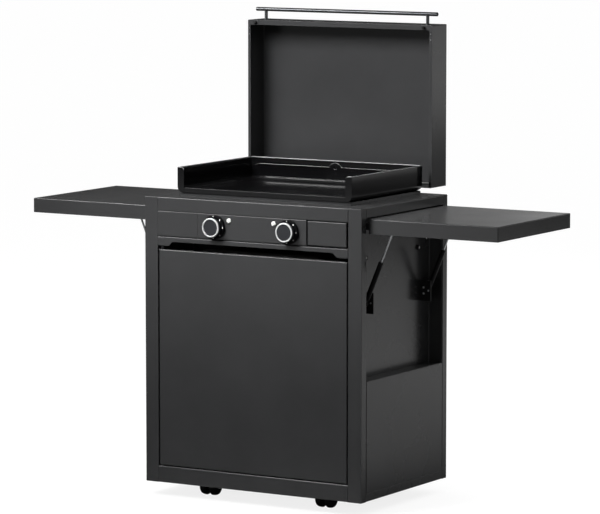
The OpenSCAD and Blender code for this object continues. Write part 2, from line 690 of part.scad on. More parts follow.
// Cooking plate: a dish that nests in the guard, with a low front lip, a high rear wall with a tab,
// and the drain spout under its hole
module cooking_plate() color(enamel) placed() {
    gap = face_gap;
    x = tray_w / 2 - tray_t - gap;
    y0 = tray_y + tray_t + gap;
    y1 = tray_y + tray_d - tray_t - gap;
    z0 = plate_z + tray_t + gap;
    r = tray_bend_r - tray_t - gap;
    ledge = tray_top - ledge_drop;
    lip_x = tray_w / 2 - guard_fold - gap;
    difference() {
        union() {
            difference() {
                tray_space(x, y0, y1, z0, ledge, r);
                tray_space(x - tray_t, y0 - 1, y1 - tray_t, z0 + tray_t, ledge + 1, r - tray_t + 1);
                translate([-x - 1, y0 - 1, z0 + r]) cube([2 * x + 2, y1 - y0 - tray_t + 1, tray_top]);
                translate([0, y1 - tray_t - 1, 0]) along_y(tray_t + 2) difference() {
                    translate([-x - 1, z0 + r]) square([2 * x + 2, tray_top]);
                    ledge_outline(x, z0 + r - 1, ledge);
                }
            }
            translate([0, y1 - tray_t, 0]) along_y(tray_t) tab_outline(ledge);
            translate([-lip_x, tray_y, plate_z]) cube([2 * lip_x, tray_t + 1, lip_h]);
            translate([-lip_x, tray_y, z0]) cube([2 * lip_x, tray_t + 2, tray_t]);
            translate([drain_x, drain_y, tray_z + drawer_h + 3])
                cylinder(r = drain_r + 2, h = z0 - tray_z - drawer_h - 2);
        }
        translate([drain_x, drain_y, tray_z]) cylinder(r = drain_r, h = tray_top);
        translate([0, y1 - tray_t - 1, ledge - 2]) rod_y(5, tray_t + 2);
    }
}

// Outline of the plate's rear wall, seen from the front
module ledge_outline(x, z0, z1) translate([-x, z0]) polygon(round_rect(2 * x, z1 - z0, [0, 0, 32, 32], 10));

// Outline of the round tab in the middle of that wall
module tab_outline(z) intersection() {
    translate([0, z - 11.6]) circle(r = 25);
    translate([-25, z - eps]) square([50, 20]);
}

// Ears of the lid's hinge: each stands on the worktop and reaches over the lid's lower rim
module lid_hinge_ears() color(dark_steel) placed() for (s = [-1, 1]) translate([s * ear_x - 2.5, 0, 0]) {
    rear = cart_d - ear_in;
    front = rear - 9;
    difference() {
        along_x(5) union() {
            translate([front, cart_h]) square([9, pivot_z + 6 - cart_h]);
            translate([front, pivot_z - 6]) square([pivot_y - front, 12]);
            translate([pivot_y, pivot_z]) circle(r = 7.5);
        }
        translate([-1, pivot_y, pivot_z]) rod_x(hinge_r + fit_gap, 7);
    }
    translate([-10, front, cart_h]) cube([25, 9, 2.5]);
}

module hinge_rod() color(bright_steel) placed()
    translate([-lid_w / 2 + 4, pivot_y, pivot_z]) rod_x(hinge_r, lid_w - 8);

// Lid: a deep folded tray, open to the front while it stands up
module lid_shell() color(anthracite) placed() {
    difference() {
        translate([-lid_w / 2, lid_back, lid_z]) rotate([90, 0, 0])
            folded_tray([lid_w, lid_h, lid_d], sheet_t, lid_edge_r, [lid_side_fold, lid_side_fold, 0, lid_top_fold]);
        // The lower rim has no fold, so that the ears can reach in
        translate([-lid_w / 2 + lid_side_fold, lid_y - 1, lid_z + sheet_t])
            cube([lid_w - 2 * lid_side_fold, sheet_t + 2, lid_h / 2]);
    }
    // Lugs that carry the lid on the hinge rod
    for (s = [-1, 1]) translate([s * (lid_w / 2 - 11) - 1.5, 0, 0]) difference() {
        along_x(3) union() {
            translate([pivot_y - 8, lid_z + sheet_t - eps]) square([16, hinge_z - sheet_t + eps]);
            translate([pivot_y, pivot_z]) circle(r = 8);
        }
        translate([-1, pivot_y, pivot_z]) rod_x(hinge_r + fit_gap, 5);
    }
}

// Handle: a round bar on two posts
module lid_handle() color(bright_steel) placed() {
    translate([-handle_x, handle_y, handle_z]) rotate([0, 90, 0]) rotate_extrude()
        polygon([[0, 0], [handle_r - 1, 0], [handle_r, 1], [handle_r, 2 * handle_x - 1],
            [handle_r - 1, 2 * handle_x], [0, 2 * handle_x]]);
    for (s = [-1, 1]) translate([s * handle_post_x, handle_y, lid_top]) {
        cylinder(r = 5, h = handle_rise);
        cylinder(r = 7.5, h = 2);
    }
}

// Rubber buffers on the upper rim, which rest on the worktop when the lid is shut
module lid_buffers() color(black_part) placed() for (s = [-1, 1])
    translate([s * (lid_w / 2 - 28), lid_y, lid_top - 8]) rotate([90, 0, 0])
        cylinder(r = 5, h = closed_gap - face_gap);

// Side table: a sheet folded down all round, notched where the hinge arms come out
module side_table() difference() {
    translate([table_x0, table_y1, table_z1]) rotate([180, 0, 0])
        folded_tray([table_len, table_y1 - table_y0, table_t], sheet_t, table_edge_r);
    for (y = [arm_y0 - eps, arm_y1 - arm_t - 0.5])
        translate([table_x0 - 1, y, fold_z - arm_h / 2 - 2])
            cube([sheet_t + table_edge_r + 1, arm_t + 0.5 + eps, arm_h + 4]);
}
module table_right() color(anthracite) placed() side_table();
module table_left() color(anthracite) placed() mirror([1, 0, 0]) side_table();

// Hinge arms and crossbar under a side table
module table_subframe() {
    for (y = [arm_y0, arm_y1 - arm_t]) difference() {
        translate([0, y, 0]) along_y(arm_t) union() {
            translate([fold_x, fold_z]) circle(r = arm_h / 2 + 1);
            translate([fold_x, fold_z - arm_h / 2]) square([arm_len, arm_h]);
        }
        translate([fold_x, y - 1, fold_z]) rod_y(table_bolt_r + fit_gap, arm_t + 2);
    }
    z0 = table_z1 - table_t + crossbar_low;
    translate([fold_x + crossbar_x, crossbar_y0, z0])
        folded_tray([crossbar_w, crossbar_y1 - crossbar_y0, table_z1 - sheet_t - z0], sheet_t, bend_r + sheet_t);
}
module table_subframe_right() color(black_part) placed() table_subframe();
module table_subframe_left() color(black_part) placed() mirror([1, 0, 0]) table_subframe();

// Bolts that carry the side tables: head, shoulder, shank and the nut inside the post
module pivot_bolt() rotate_extrude()
    polygon([[0, 0], [7.5, 0], [7.5, 5], [table_bolt_r, 5], [table_bolt_r, bolt_shoulder],
        [6.5, bolt_shoulder], [6.5, bolt_shoulder + bolt_spacer], [table_bolt_r, bolt_shoulder + bolt_spacer],
        [table_bolt_r, bolt_grip], [7, bolt_grip], [7, bolt_grip + 5], [0, bolt_grip + 5]]);
module table_pivot_bolts() color(bright_steel) placed() both_sides() {
    translate([fold_x, arm_y0 + arm_t + face_gap + 5, fold_z]) rotate([90, 0, 0]) pivot_bolt();
    translate([fold_x, arm_y1 - arm_t - face_gap - 5, fold_z]) rotate([-90, 0, 0]) pivot_bolt();
}

// Buffers on the niche walls, which stop a folded table at its crossbar
module table_buffers() color(black_part) placed() both_sides()
    for (y = [crossbar_y0 + 14, crossbar_y1 - 14])
        translate([web_x, y, fold_z - crossbar_x - crossbar_w / 2]) rotate([0, 90, 0]) rotate_extrude()
            polygon([[0, 0], [8, 0], [8, 2], [7, buffer_len - 1], [6, buffer_len], [0, buffer_len]]);

// Strut brackets: an angle on the niche wall whose ear carries the strut's lower stud
module strut_bracket() {
    z0 = strut_low_z - bracket_h / 2;
    difference() {
        translate([0, 0, z0]) linear_extrude(bracket_h) union() {
            translate([web_x, strut_y0 - bracket_foot]) square([ear_t, bracket_foot + stud_reach + ear_t]);
            translate([web_x, strut_y0 + stud_reach]) square([low_x + bracket_out - web_x, ear_t]);
        }
        for (p = screw_places)
            translate([p[0], strut_y0 + stud_reach - 1, p[1]]) rod_y(screw_r + bolt_gap, ear_t + 2);
    }
    translate([low_x, strut_y0 - 8, strut_low_z]) rod_y(stud_r, stud_reach + 8 + eps);
    translate([low_x, strut_y0 - 8, strut_low_z]) rod_y(stud_r + 2, 2);
}
module at_both_struts() {
    children();
    translate([0, strut_y0 + strut_y1, 0]) mirror([0, 1, 0]) children();
}
module strut_brackets() color(black_part) placed() both_sides() at_both_struts() strut_bracket();

// Rivets in the strut brackets: each has a low tail towards the strut and a round head behind
module bracket_screws() color(bright_steel) placed() both_sides() at_both_struts() for (p = screw_places)
    translate([p[0], strut_y0 + stud_reach - 2, p[1]]) turned_y()
        polygon([[0, 0], [screw_r, 0], [screw_r, ear_t + 2], [screw_r + 1, ear_t + 2], [screw_r + 1, ear_t + 2.8],
            [screw_r, ear_t + 3.8], [0, ear_t + 4.2]]);

// Strut, drawn upright from its lower pivot: an eye, and a closed tube with a gland for the rod
module strut_cylinder() difference() {
    bore = strut_cyl_r - strut_wall;
    union() {
        translate([0, -5, 0]) rod_y(stud_r + 5, 10);
        rotate_extrude() polygon([[0, 0], [4.3, 0], [4.3, 12], [strut_cyl_r - 1, 12], [strut_cyl_r, 13],
            [strut_cyl_r, strut_cyl_len - 1], [strut_cyl_r - 1, strut_cyl_len],
            [strut_rod_r + fit_gap, strut_cyl_len], [strut_rod_r + fit_gap, strut_cyl_len - 5],
            [bore, strut_cyl_len - 5], [bore, 16], [0, 16]]);
    }
    translate([0, -6, 0]) rod_y(stud_r + fit_gap, 12);
}

// Rod with its piston, its eye and the stud that reaches towards the crossbar
module strut_rod() {
    translate([0, 0, strut_cyl_len - 13]) cylinder(r = strut_cyl_r - strut_wall - face_gap, h = 7.5);
    translate([0, 0, strut_cyl_len - 13]) cylinder(r = strut_rod_r, h = strut_len - strut_cyl_len + 8);
    translate([0, 0, strut_len]) {
        translate([0, -4, 0]) rod_y(stud_r + 3, 8);
        rod_y(stud_r, crossbar_y0 - strut_y0 - face_gap);
    }
}
module at_strut() at_both_struts() translate([low_x, strut_y0, strut_low_z]) rotate([0, strut_tilt, 0]) children();
module strut_cylinders_right() color(black_part) placed() at_strut() strut_cylinder();
module strut_cylinders_left() color(black_part) placed() mirror([1, 0, 0]) at_strut() strut_cylinder();
module strut_rods_right() color(bright_steel) placed() at_strut() strut_rod();
module strut_rods_left() color(bright_steel) placed() mirror([1, 0, 0]) at_strut() strut_rod();

// Door: a folded tray, open to the back, with a return fold all round
module door_panel() color(anthracite) placed() difference() {
    translate([-door_x, 0, door_z1]) rotate([-90, 0, 0])
        folded_tray([2 * door_x, door_z1 - door_z0, door_t], sheet_t, bend_r + sheet_t,
            [door_lip, door_lip, door_lip, door_lip]);
    for (z = [door_z0, door_z1 - sheet_t])
        translate([door_pin_x, door_pin_y, z - 1]) cylinder(r = door_pin_r + fit_gap, h = sheet_t + 2);
}

// Pull lip: a strip on the door's upper return fold, turned up behind the grip cut-out
module door_grip() color(anthracite) placed() translate([-pull_x, 0, 0]) along_x(2 * pull_x)
    sheet([[pull_y - sheet_t, door_z1 + 3], [pull_y - sheet_t, door_z1 - 3], [door_t, door_z1 - 3],
        [door_t, door_z1 - door_lip]]);

// Pins that the door turns on, each with its collar and head
module door_pivots() color(bright_steel) placed() {
    translate([door_pin_x, door_pin_y, base_h]) rotate_extrude()
        polygon([[0, -sheet_t - 3], [5.5, -sheet_t - 3], [5.5, -sheet_t], [door_pin_r, -sheet_t], [door_pin_r, 0],
            [6, 0], [6, door_low_gap - face_gap], [door_pin_r, door_low_gap - face_gap],
            [door_pin_r, door_low_gap + 6], [0, door_low_gap + 6]]);
    translate([door_pin_x, door_pin_y, grip_z0]) mirror([0, 0, 1]) rotate_extrude()
        polygon([[0, -sheet_t - 3], [5.5, -sheet_t - 3], [5.5, -sheet_t], [door_pin_r, -sheet_t], [door_pin_r, 0],
            [6, 0], [6, door_top_gap - face_gap], [door_pin_r, door_top_gap - face_gap],
            [door_pin_r, door_top_gap + 6], [0, door_top_gap + 6]]);
}

// Magnet catch: a block that hangs from the heat shield on an angle, behind the door's closing edge
module door_catch() color(black_part) placed() translate([catch_x, 0, 0]) {
    back = niche_y0 + 4;
    low = door_z1 - catch_h - 2;
    translate([0, door_t + face_gap, low]) cube([catch_w, back - door_t - face_gap, catch_h]);
    along_x(catch_w) sheet([[back + catch_h, shield_z], [back, shield_z], [back, low]]);
}

// Knob parts, drawn about the axis of the right-hand knob from its face to the back
module valve_stem() translate([0, -knob_front + 5, 0]) rod_y(stem_r, knob_front - 5 + stem_in);
module knob_body() difference() {
    translate([0, -knob_front, 0]) turned_y() polygon([[0, 1.5], [knob_r - ring_w, 1.5], [knob_r - ring_w, ring_t],
        [knob_r - 1, ring_t], [knob_r, ring_t + 1], [knob_r, knob_len - 1], [knob_r - 1, knob_len], [0, knob_len]]);
    translate([0, -knob_front + 5 - knob_travel / 2, 0]) rod_y(stem_r + fit_gap, knob_len);
}
module knob_ring() translate([0, -knob_front, 0]) turned_y()
    polygon([[knob_r - ring_w + fit_gap, 0.5], [knob_r - ring_w + 0.5, 0], [knob_r - 1, 0], [knob_r, 1],
        [knob_r, ring_t - fit_gap], [knob_r - ring_w + fit_gap, ring_t - fit_gap]]);
module at_knob(side) translate([side * knob_x, 0, knob_z]) children();
module valve_stem_left() color(bright_steel) placed() at_knob(-1) valve_stem();
module valve_stem_right() color(bright_steel) placed() at_knob(1) valve_stem();
module knob_left() color(dark_steel) placed() at_knob(-1) knob_body();
module knob_right() color(dark_steel) placed() at_knob(1) knob_body();
module knob_ring_left() color(bright_steel) placed() at_knob(-1) knob_ring();
module knob_ring_right() color(bright_steel) placed() at_knob(1) knob_ring();

// Igniter button: a cap in the panel's hole and the collar that keeps it in
module igniter() translate([0, -igniter_proud, knob_z + igniter_rise]) turned_y()
    polygon([[0, 0], [igniter_r - 1.2, 0], [igniter_r, 1.2], [igniter_r, igniter_proud + sheet_t + face_gap],
        [igniter_r + 1.8, igniter_proud + sheet_t + face_gap], [igniter_r + 1.8, igniter_proud + sheet_t + 4],
        [4, igniter_proud + sheet_t + 4], [4, igniter_proud + 16], [0, igniter_proud + 16]]);
module igniter_left() color(white_part) placed() translate([-igniter_x, 0, 0]) igniter();
module igniter_right() color(white_part) placed() translate([igniter_x, 0, 0]) igniter();

// Grease drawer: its tray and its front
module grease_tray() color(bright_steel) placed() translate([tray_x0, sheet_t, tray_z])
    folded_tray([drawer_w, drawer_len, drawer_h], 1.2, 4);
module drawer_front() color(anthracite) placed() translate([drawer_x0, 0, panel_z1 - drawer_gap])
    rotate([-90, 0, 0]) folded_tray([drawer_x1 - drawer_x0, panel_h - 2 * drawer_gap, fold_d], sheet_t,
        bend_r + sheet_t);

// Caster mounts: a plate under the floor panel, with the socket for the swivel's stem
module at_casters() for (s = [-1, 1], y = [caster_front_y, caster_rear_y]) translate([s * caster_x, y, 0]) children();
module caster_mounts() color(black_part) placed() at_casters() translate([0, caster_trail, 0]) difference() {
    union() {
        translate([-28, -28, floor_z - 3]) linear_extrude(3) polygon(round_rect(56, 56, [5, 5, 5, 5]));
        translate([0, 0, floor_z - 8]) cylinder(r = 11, h = 6);
    }
    translate([0, 0, floor_z - 9]) cylinder(r = swivel_r + fit_gap, h = 8);
}

// Caster fork, drawn about the middle of its wheels: swivel stem, web between the wheels and hood
module caster_fork() {
    axle_z = wheel_r - floor_gap;
    translate([0, caster_trail, floor_z - 14]) cylinder(r = swivel_r, h = 12);
    difference() {
        union() {
            translate([-6, 0, 0]) along_x(12) union() {
                translate([0, axle_z]) circle(r = 9);
                translate([-6, axle_z]) square([caster_trail + 12, floor_z - 8 - face_gap - axle_z]);
            }
            translate([0, caster_trail, floor_z - 16]) cylinder(r = swivel_r + 2, h = 8 - face_gap);
            translate([-wheel_w / 2, 0, axle_z]) along_x(wheel_w) hood_outline();
        }
        translate([-7, 0, axle_z]) rod_x(axle_r + fit_gap, 14);
    }
}
module hood_outline() intersection() {
    difference() {
        circle(r = wheel_r + 2.7);
        circle(r = wheel_r + 1.2);
    }
    polygon([[0, 0], [-wheel_r, 12], [-wheel_r, 60], [wheel_r + 20, 60], [wheel_r + 20, 12]]);
}

// Caster wheels: two rounded wheels on one axle
module caster_wheels() translate([0, 0, wheel_r - floor_gap]) rotate([0, 90, 0]) {
    cylinder(r = axle_r, h = 20, center = true);
    for (s = [0, 1]) mirror([0, 0, s]) rotate_extrude()
        polygon(concat([[0, 7.5], [wheel_r, 7.5]], arc([wheel_r - 8, wheel_w / 2 - 8], 8, 0, 90), [[14, wheel_w / 2],
            [12, wheel_w / 2 - 2], [0, wheel_w / 2 - 2]]));
}
module caster_place(side, y) translate([side * caster_x, y, 0]) children();
module caster_fork_front_left() color(black_part) placed() caster_place(-1, caster_front_y) caster_fork();
module caster_fork_front_right() color(black_part) placed() caster_place(1, caster_front_y) caster_fork();
module caster_fork_rear_left() color(black_part) placed() caster_place(-1, caster_rear_y) caster_fork();
module caster_fork_rear_right() color(black_part) placed() caster_place(1, caster_rear_y) caster_fork();
module caster_wheels_front_left() color(black_part) placed() caster_place(-1, caster_front_y) caster_wheels();
module caster_wheels_front_right() color(black_part) placed() caster_place(1, caster_front_y) caster_wheels();
module caster_wheels_rear_left() color(black_part) placed() caster_place(-1, caster_rear_y) caster_wheels();
module caster_wheels_rear_right() color(black_part) placed() caster_place(1, caster_rear_y) caster_wheels();

worktop();
front_posts();
rear_posts();
grip_rail();
base_rails();
floor_panel();
inner_walls();
side_panels();
back_panel();
heat_shield();
drawer_runners();
control_panel();
blank_panel();
knob_bezels();
gas_valves();
gas_manifold();
burners();
hob_case();
cooking_plate();
splash_guard();
lid_hinge_ears();
hinge_rod();
strut_brackets();
bracket_screws();
table_pivot_bolts();
table_buffers();
caster_mounts();
door_pivots();
door_catch();
lid_shell();
lid_handle();
lid_buffers();
table_right();
table_left();
table_subframe_right();
table_subframe_left();
strut_cylinders_right();
strut_cylinders_left();
strut_rods_right();
strut_rods_left();
door_panel();
door_grip();
valve_stem_left();
valve_stem_right();
knob_left();
knob_right();
knob_ring_left();
knob_ring_right();
igniter_left();
igniter_right();
grease_tray();
drawer_front();
caster_fork_front_left();
caster_fork_front_right();
caster_fork_rear_left();
caster_fork_rear_right();
caster_wheels_front_left();
caster_wheels_front_right();
caster_wheels_rear_left();
caster_wheels_rear_right();
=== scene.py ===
"""Looks of a gas griddle on a steel cart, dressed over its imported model.

Metres. +X runs to the right of someone who stands at the knobs, +Y to the back and +Z up.
Every finish is a node material, and every new piece is a numpy surface that sits on its packed place.
"""

import json
import logging
import math
from dataclasses import dataclass
from enum import Enum
from functools import cache
from typing import ClassVar, Iterable, Optional, Sequence

import bmesh
import bpy
import numpy as np
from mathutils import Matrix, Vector

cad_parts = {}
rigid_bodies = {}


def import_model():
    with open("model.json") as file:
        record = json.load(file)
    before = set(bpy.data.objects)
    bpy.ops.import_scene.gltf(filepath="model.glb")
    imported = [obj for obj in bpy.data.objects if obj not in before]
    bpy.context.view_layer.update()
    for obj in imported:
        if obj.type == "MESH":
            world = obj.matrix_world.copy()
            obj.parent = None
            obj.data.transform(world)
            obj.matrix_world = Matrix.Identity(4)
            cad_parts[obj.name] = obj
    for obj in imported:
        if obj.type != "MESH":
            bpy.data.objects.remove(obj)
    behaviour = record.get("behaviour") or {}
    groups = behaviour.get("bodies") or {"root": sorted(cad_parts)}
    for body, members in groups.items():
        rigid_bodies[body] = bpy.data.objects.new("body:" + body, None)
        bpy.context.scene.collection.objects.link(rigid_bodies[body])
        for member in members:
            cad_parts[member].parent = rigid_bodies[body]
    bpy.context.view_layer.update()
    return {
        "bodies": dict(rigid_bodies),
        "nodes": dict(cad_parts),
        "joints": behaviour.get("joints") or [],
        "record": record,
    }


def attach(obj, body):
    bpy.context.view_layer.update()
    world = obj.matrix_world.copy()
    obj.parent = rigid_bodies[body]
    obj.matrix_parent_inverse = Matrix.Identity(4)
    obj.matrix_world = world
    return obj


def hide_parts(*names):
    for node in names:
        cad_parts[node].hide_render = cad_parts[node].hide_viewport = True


log = logging.getLogger("griddle_cart")
MM = 0.001


class Graph:
    """Adds nodes to one node tree and joins them."""

    def __init__(self, tree: bpy.types.NodeTree) -> None:
        """Takes the tree.

        Args:
            tree: a material's, group's or world's node tree.
        """
        self.tree = tree

    def add(self, kind: str, inputs: dict | None = None, **settings: object) -> bpy.types.Node:
        """Adds one node.

        Args:
            kind: the node's type, without its ShaderNode prefix.
            inputs: socket name or number to a value, or to the socket that feeds it.
            settings: the node's own properties.

        Returns:
            The node.
        """
        made = self.tree.nodes.new(kind if kind.startswith("NodeGroup") else "ShaderNode" + kind)
        for name, value in settings.items():
            setattr(made, name, value)
        return self.fed(made, inputs or {})

    def place(self, group: bpy.types.NodeTree, inputs: dict) -> bpy.types.Node:
        """Places a shared group with its own input values and returns the node."""
        made = self.tree.nodes.new("ShaderNodeGroup")
        made.node_tree = group
        return self.fed(made, inputs)

    def fed(self, node: bpy.types.Node, inputs: dict) -> bpy.types.Node:
        """Sets each named input of a node, or links it where the value is a socket, and returns the node."""
        for name, value in inputs.items():
            if isinstance(value, bpy.types.NodeSocket):
                self.tree.links.new(value, node.inputs[name])
            else:
                node.inputs[name].default_value = value
        return node

    def math(self, operation: str, *values: object, clamp: bool = False) -> bpy.types.NodeSocket:
        """Adds a Math node on numbers or sockets and returns its output."""
        return self.add("Math", dict(enumerate(values)), operation=operation, use_clamp=clamp).outputs[0]


class SharedEffects:
    """The node groups that several finishes share: grain, folded edges and settled dust."""

    @staticmethod
    def group(name: str, inputs: dict[str, float],
              outputs: dict[str, str]) -> tuple[Graph, bpy.types.Node, bpy.types.Node]:
        """Makes an empty group.

        Args:
            name: the group's name.
            inputs: each input's name and default number.
            outputs: each output's name and socket type.

        Returns:
            Its graph, the node that gives the inputs and the node that takes the outputs.
        """
        tree = bpy.data.node_groups.new(name, "ShaderNodeTree")
        for label, value in inputs.items():
            tree.interface.new_socket(name=label, in_out="INPUT", socket_type="NodeSocketFloat").default_value = value
        for label, kind in outputs.items():
            tree.interface.new_socket(name=label, in_out="OUTPUT", socket_type="NodeSocket" + kind)
        return Graph(tree), tree.nodes.new("NodeGroupInput"), tree.nodes.new("NodeGroupOutput")

    @staticmethod
    @cache
    def grain() -> bpy.types.NodeTree:
        """Skin of a sprayed or moulded surface: a fine noise for its height and a broad one for its tone."""
        graph, given, put = SharedEffects.group("surface_grain", {"Scale": 900.0, "Cloud Scale": 6.0},
                                                {"Height": "Float", "Tone": "Float"})
        where = graph.add("TexCoord").outputs["Object"]
        fine = graph.add("TexNoise", {"Vector": where, "Scale": given.outputs["Scale"], "Detail": 3.0,
                                      "Roughness": 0.6})
        cloud = graph.add("TexNoise", {"Vector": where, "Scale": given.outputs["Cloud Scale"], "Detail": 4.0,
                                       "Roughness": 0.55})
        graph.fed(put, {"Height": fine.outputs[0], "Tone": cloud.outputs[0]})
        return graph.tree

    @staticmethod
    @cache
    def edges() -> bpy.types.NodeTree:
        """Rounded edges: a softened normal, and a mask that grows where it leaves the face's own."""
        graph, given, put = SharedEffects.group("rounded_edges", {"Radius": 0.001, "Gain": 3.0},
                                                {"Normal": "Vector", "Edge": "Float"})
        soft = graph.add("Bevel", {"Radius": given.outputs["Radius"]}, samples=4)
        flat = graph.add("NewGeometry").outputs["Normal"]
        same = graph.add("VectorMath", {0: soft.outputs[0], 1: flat}, operation="DOT_PRODUCT").outputs["Value"]
        mask = graph.math("MULTIPLY", graph.math("SUBTRACT", 1.0, same), given.outputs["Gain"], clamp=True)
        graph.fed(put, {"Normal": soft.outputs[0], "Edge": mask})
        return graph.tree

    @staticmethod
    @cache
    def dust() -> bpy.types.NodeTree:
        """Settled dust: the upward part of the normal times a patchy noise."""
        graph, given, put = SharedEffects.group("settled_dust", {"Scale": 24.0, "Amount": 0.1}, {"Mask": "Float"})
        normal = graph.add("SeparateXYZ", {0: graph.add("NewGeometry").outputs["Normal"]}).outputs["Z"]
        where = graph.add("TexCoord").outputs["Object"]
        patch = graph.add("TexNoise", {"Vector": where, "Scale": given.outputs["Scale"], "Detail": 5.0}).outputs[0]
        up = graph.math("POWER", graph.math("MAXIMUM", normal, 0.0), 4.0)
        mask = graph.math("MULTIPLY", graph.math("MULTIPLY", up, patch), given.outputs["Amount"], clamp=True)
        graph.fed(put, {"Mask": mask})
        return graph.tree


@dataclass(frozen=True)
class Finish:
    """A painted, enamelled or moulded finish, with grain, soft edges lightened both as wear and as a painted highlight,
    and a trace of dust.
    """

    name: str
    colour: tuple[float, float, float]
    roughness: float
    metallic: float = 0.0
    specular: float = 0.5
    grain_scale: float = 900.0
    grain_depth: float = 0.05
    tone_spread: float = 0.08
    rough_spread: float = 0.06
    edge_radius: float = 1.0
    edge_wear_highlight: float = 0.35
    dust: float = 0.04
    bump_distance: float = 0.0004
    cloud_scale: ClassVar[float] = 5.0
    edge_gain: ClassVar[float] = 3.0
    dust_scale: ClassVar[float] = 30.0
    dust_colour: ClassVar[tuple[float, float, float]] = (0.32, 0.31, 0.29)

    def material(self) -> bpy.types.Material:
        """Builds the material once and returns it.

        Returns:
            The material, whose colour and roughness follow the shared grain, edge and dust groups.
        """
        found = bpy.data.materials.get(self.name)
        if found:
            return found
        made = bpy.data.materials.new(self.name)
        made.use_nodes = True
        graph = Graph(made.node_tree)
        height, cloud = self.skin(graph)
        edges = graph.place(SharedEffects.edges(), {"Radius": self.edge_radius * MM, "Gain": self.edge_gain})
        dust = graph.place(SharedEffects.dust(), {"Scale": self.dust_scale, "Amount": self.dust})
        tone = self.tone_range(graph, cloud, 1.0 - self.tone_spread, 1.0 + self.tone_spread)
        toned = graph.add("VectorMath", {0: self.colour, "Scale": tone}, operation="SCALE").outputs[0]
        dusty = self.towards(graph, dust.outputs["Mask"], self.worn_and_highlit(graph, toned, edges), self.dust_colour, 1.0)
        low, high = self.roughness - self.rough_spread, self.roughness + self.rough_spread
        bump = graph.add("Bump", {"Strength": self.grain_depth, "Distance": self.bump_distance, "Height": height,
                                  "Normal": edges.outputs["Normal"]})
        graph.fed(made.node_tree.nodes["Principled BSDF"],
                  {"Base Color": dusty, "Roughness": self.tone_range(graph, cloud, low, high),
                   "Normal": bump.outputs[0], "Metallic": self.metallic} | self.constants())
        return made

    def skin(self, graph: Graph) -> tuple[bpy.types.NodeSocket, bpy.types.NodeSocket]:
        """Returns the height of the surface's grain and the noise that varies its tone and roughness."""
        grain = graph.place(SharedEffects.grain(), {"Scale": self.grain_scale, "Cloud Scale": self.cloud_scale})
        return grain.outputs["Height"], grain.outputs["Tone"]

    def worn_and_highlit(self, graph: Graph, colour: bpy.types.NodeSocket, edges: bpy.types.Node) -> bpy.types.NodeSocket:
        """Returns the colour with its edges lightened as wear and as a painted highlight, then the finish's own marks
        and painted highlights.
        """
        # Wear and painted highlight: the edge mask lifts the colour towards a light grey.
        rubbed_and_highlit = self.towards(graph, edges.outputs["Edge"], colour, self.edge_wear_highlight_colour(), self.edge_wear_highlight)
        return self.marked_and_highlit(graph, rubbed_and_highlit)

    def constants(self) -> dict[str, object]:
        """Returns the shader's fixed values by socket name."""
        return {"Specular IOR Level": self.specular}

    def marked_and_highlit(self, graph: Graph, colour: bpy.types.NodeSocket) -> bpy.types.NodeSocket:
        """Returns the colour with the marks and painted highlights that only some finishes have; here it stays as it
        is.
        """
        return colour

    def edge_wear_highlight_colour(self) -> tuple[float, float, float, float]:
        """Colour of an edge's wear and painted highlight: the finish's own, lifted towards a light grey."""
        red, green, blue = (0.5 * (part + 0.4) for part in self.colour)
        return (red, green, blue, 1.0)

    @staticmethod
    def tone_range(graph: Graph, value: bpy.types.NodeSocket, low: float, high: float) -> bpy.types.NodeSocket:
        """Spreads a noise's middle band over a range and returns the result."""
        made = graph.add("MapRange", {"Value": value, "From Min": 0.3, "From Max": 0.7, "To Min": low, "To Max": high})
        return made.outputs[0]

    @staticmethod
    def towards(graph: Graph, mask: bpy.types.NodeSocket, colour: bpy.types.NodeSocket,
                target: Sequence[float], amount: float) -> bpy.types.NodeSocket:
        """Mixes a colour towards a target by a mask times an amount and returns it."""
        factor = graph.math("MULTIPLY", mask, amount, clamp=True)
        return graph.add("Mix", {0: factor, 6: colour, 7: (*target[:3], 1.0)}, data_type="RGBA").outputs[2]

    def dress(self, objects: Iterable[bpy.types.Object]) -> None:
        """Puts the finish on each object in place of what it had."""
        for one in objects:
            one.data.materials.clear()
            one.data.materials.append(self.material())


@dataclass(frozen=True)
class BareSteel(Finish):
    """Steel whose fine brush lines run across the cart."""

    bump_distance: float = 0.0002
    painted_grazing_tint: float = 1.0
    stretch: ClassVar[tuple[float, float, float]] = (20.0, 1400.0, 1400.0)

    def skin(self, graph: Graph) -> tuple[bpy.types.NodeSocket, bpy.types.NodeSocket]:
        """Returns a noise stretched along X, both as the lines' height and as what varies tone and roughness."""
        where = graph.add("Mapping", {"Vector": graph.add("TexCoord").outputs["Object"], "Scale": self.stretch})
        lines = graph.add("TexNoise", {"Vector": where.outputs[0], "Scale": 1.0, "Detail": 3.0}).outputs[0]
        return lines, lines

    def worn_and_highlit(self, graph: Graph, colour: bpy.types.NodeSocket, edges: bpy.types.Node) -> bpy.types.NodeSocket:
        """Returns the colour as it is, since bare steel has no paint to rub off and gets no painted edge highlight."""
        return colour

    def constants(self) -> dict[str, object]:
        """Returns the tint at grazing angles; below 1 it is painted shade that darkens the steel towards its edges."""
        return {"Specular Tint": (self.painted_grazing_tint, self.painted_grazing_tint, self.painted_grazing_tint, 1.0)}


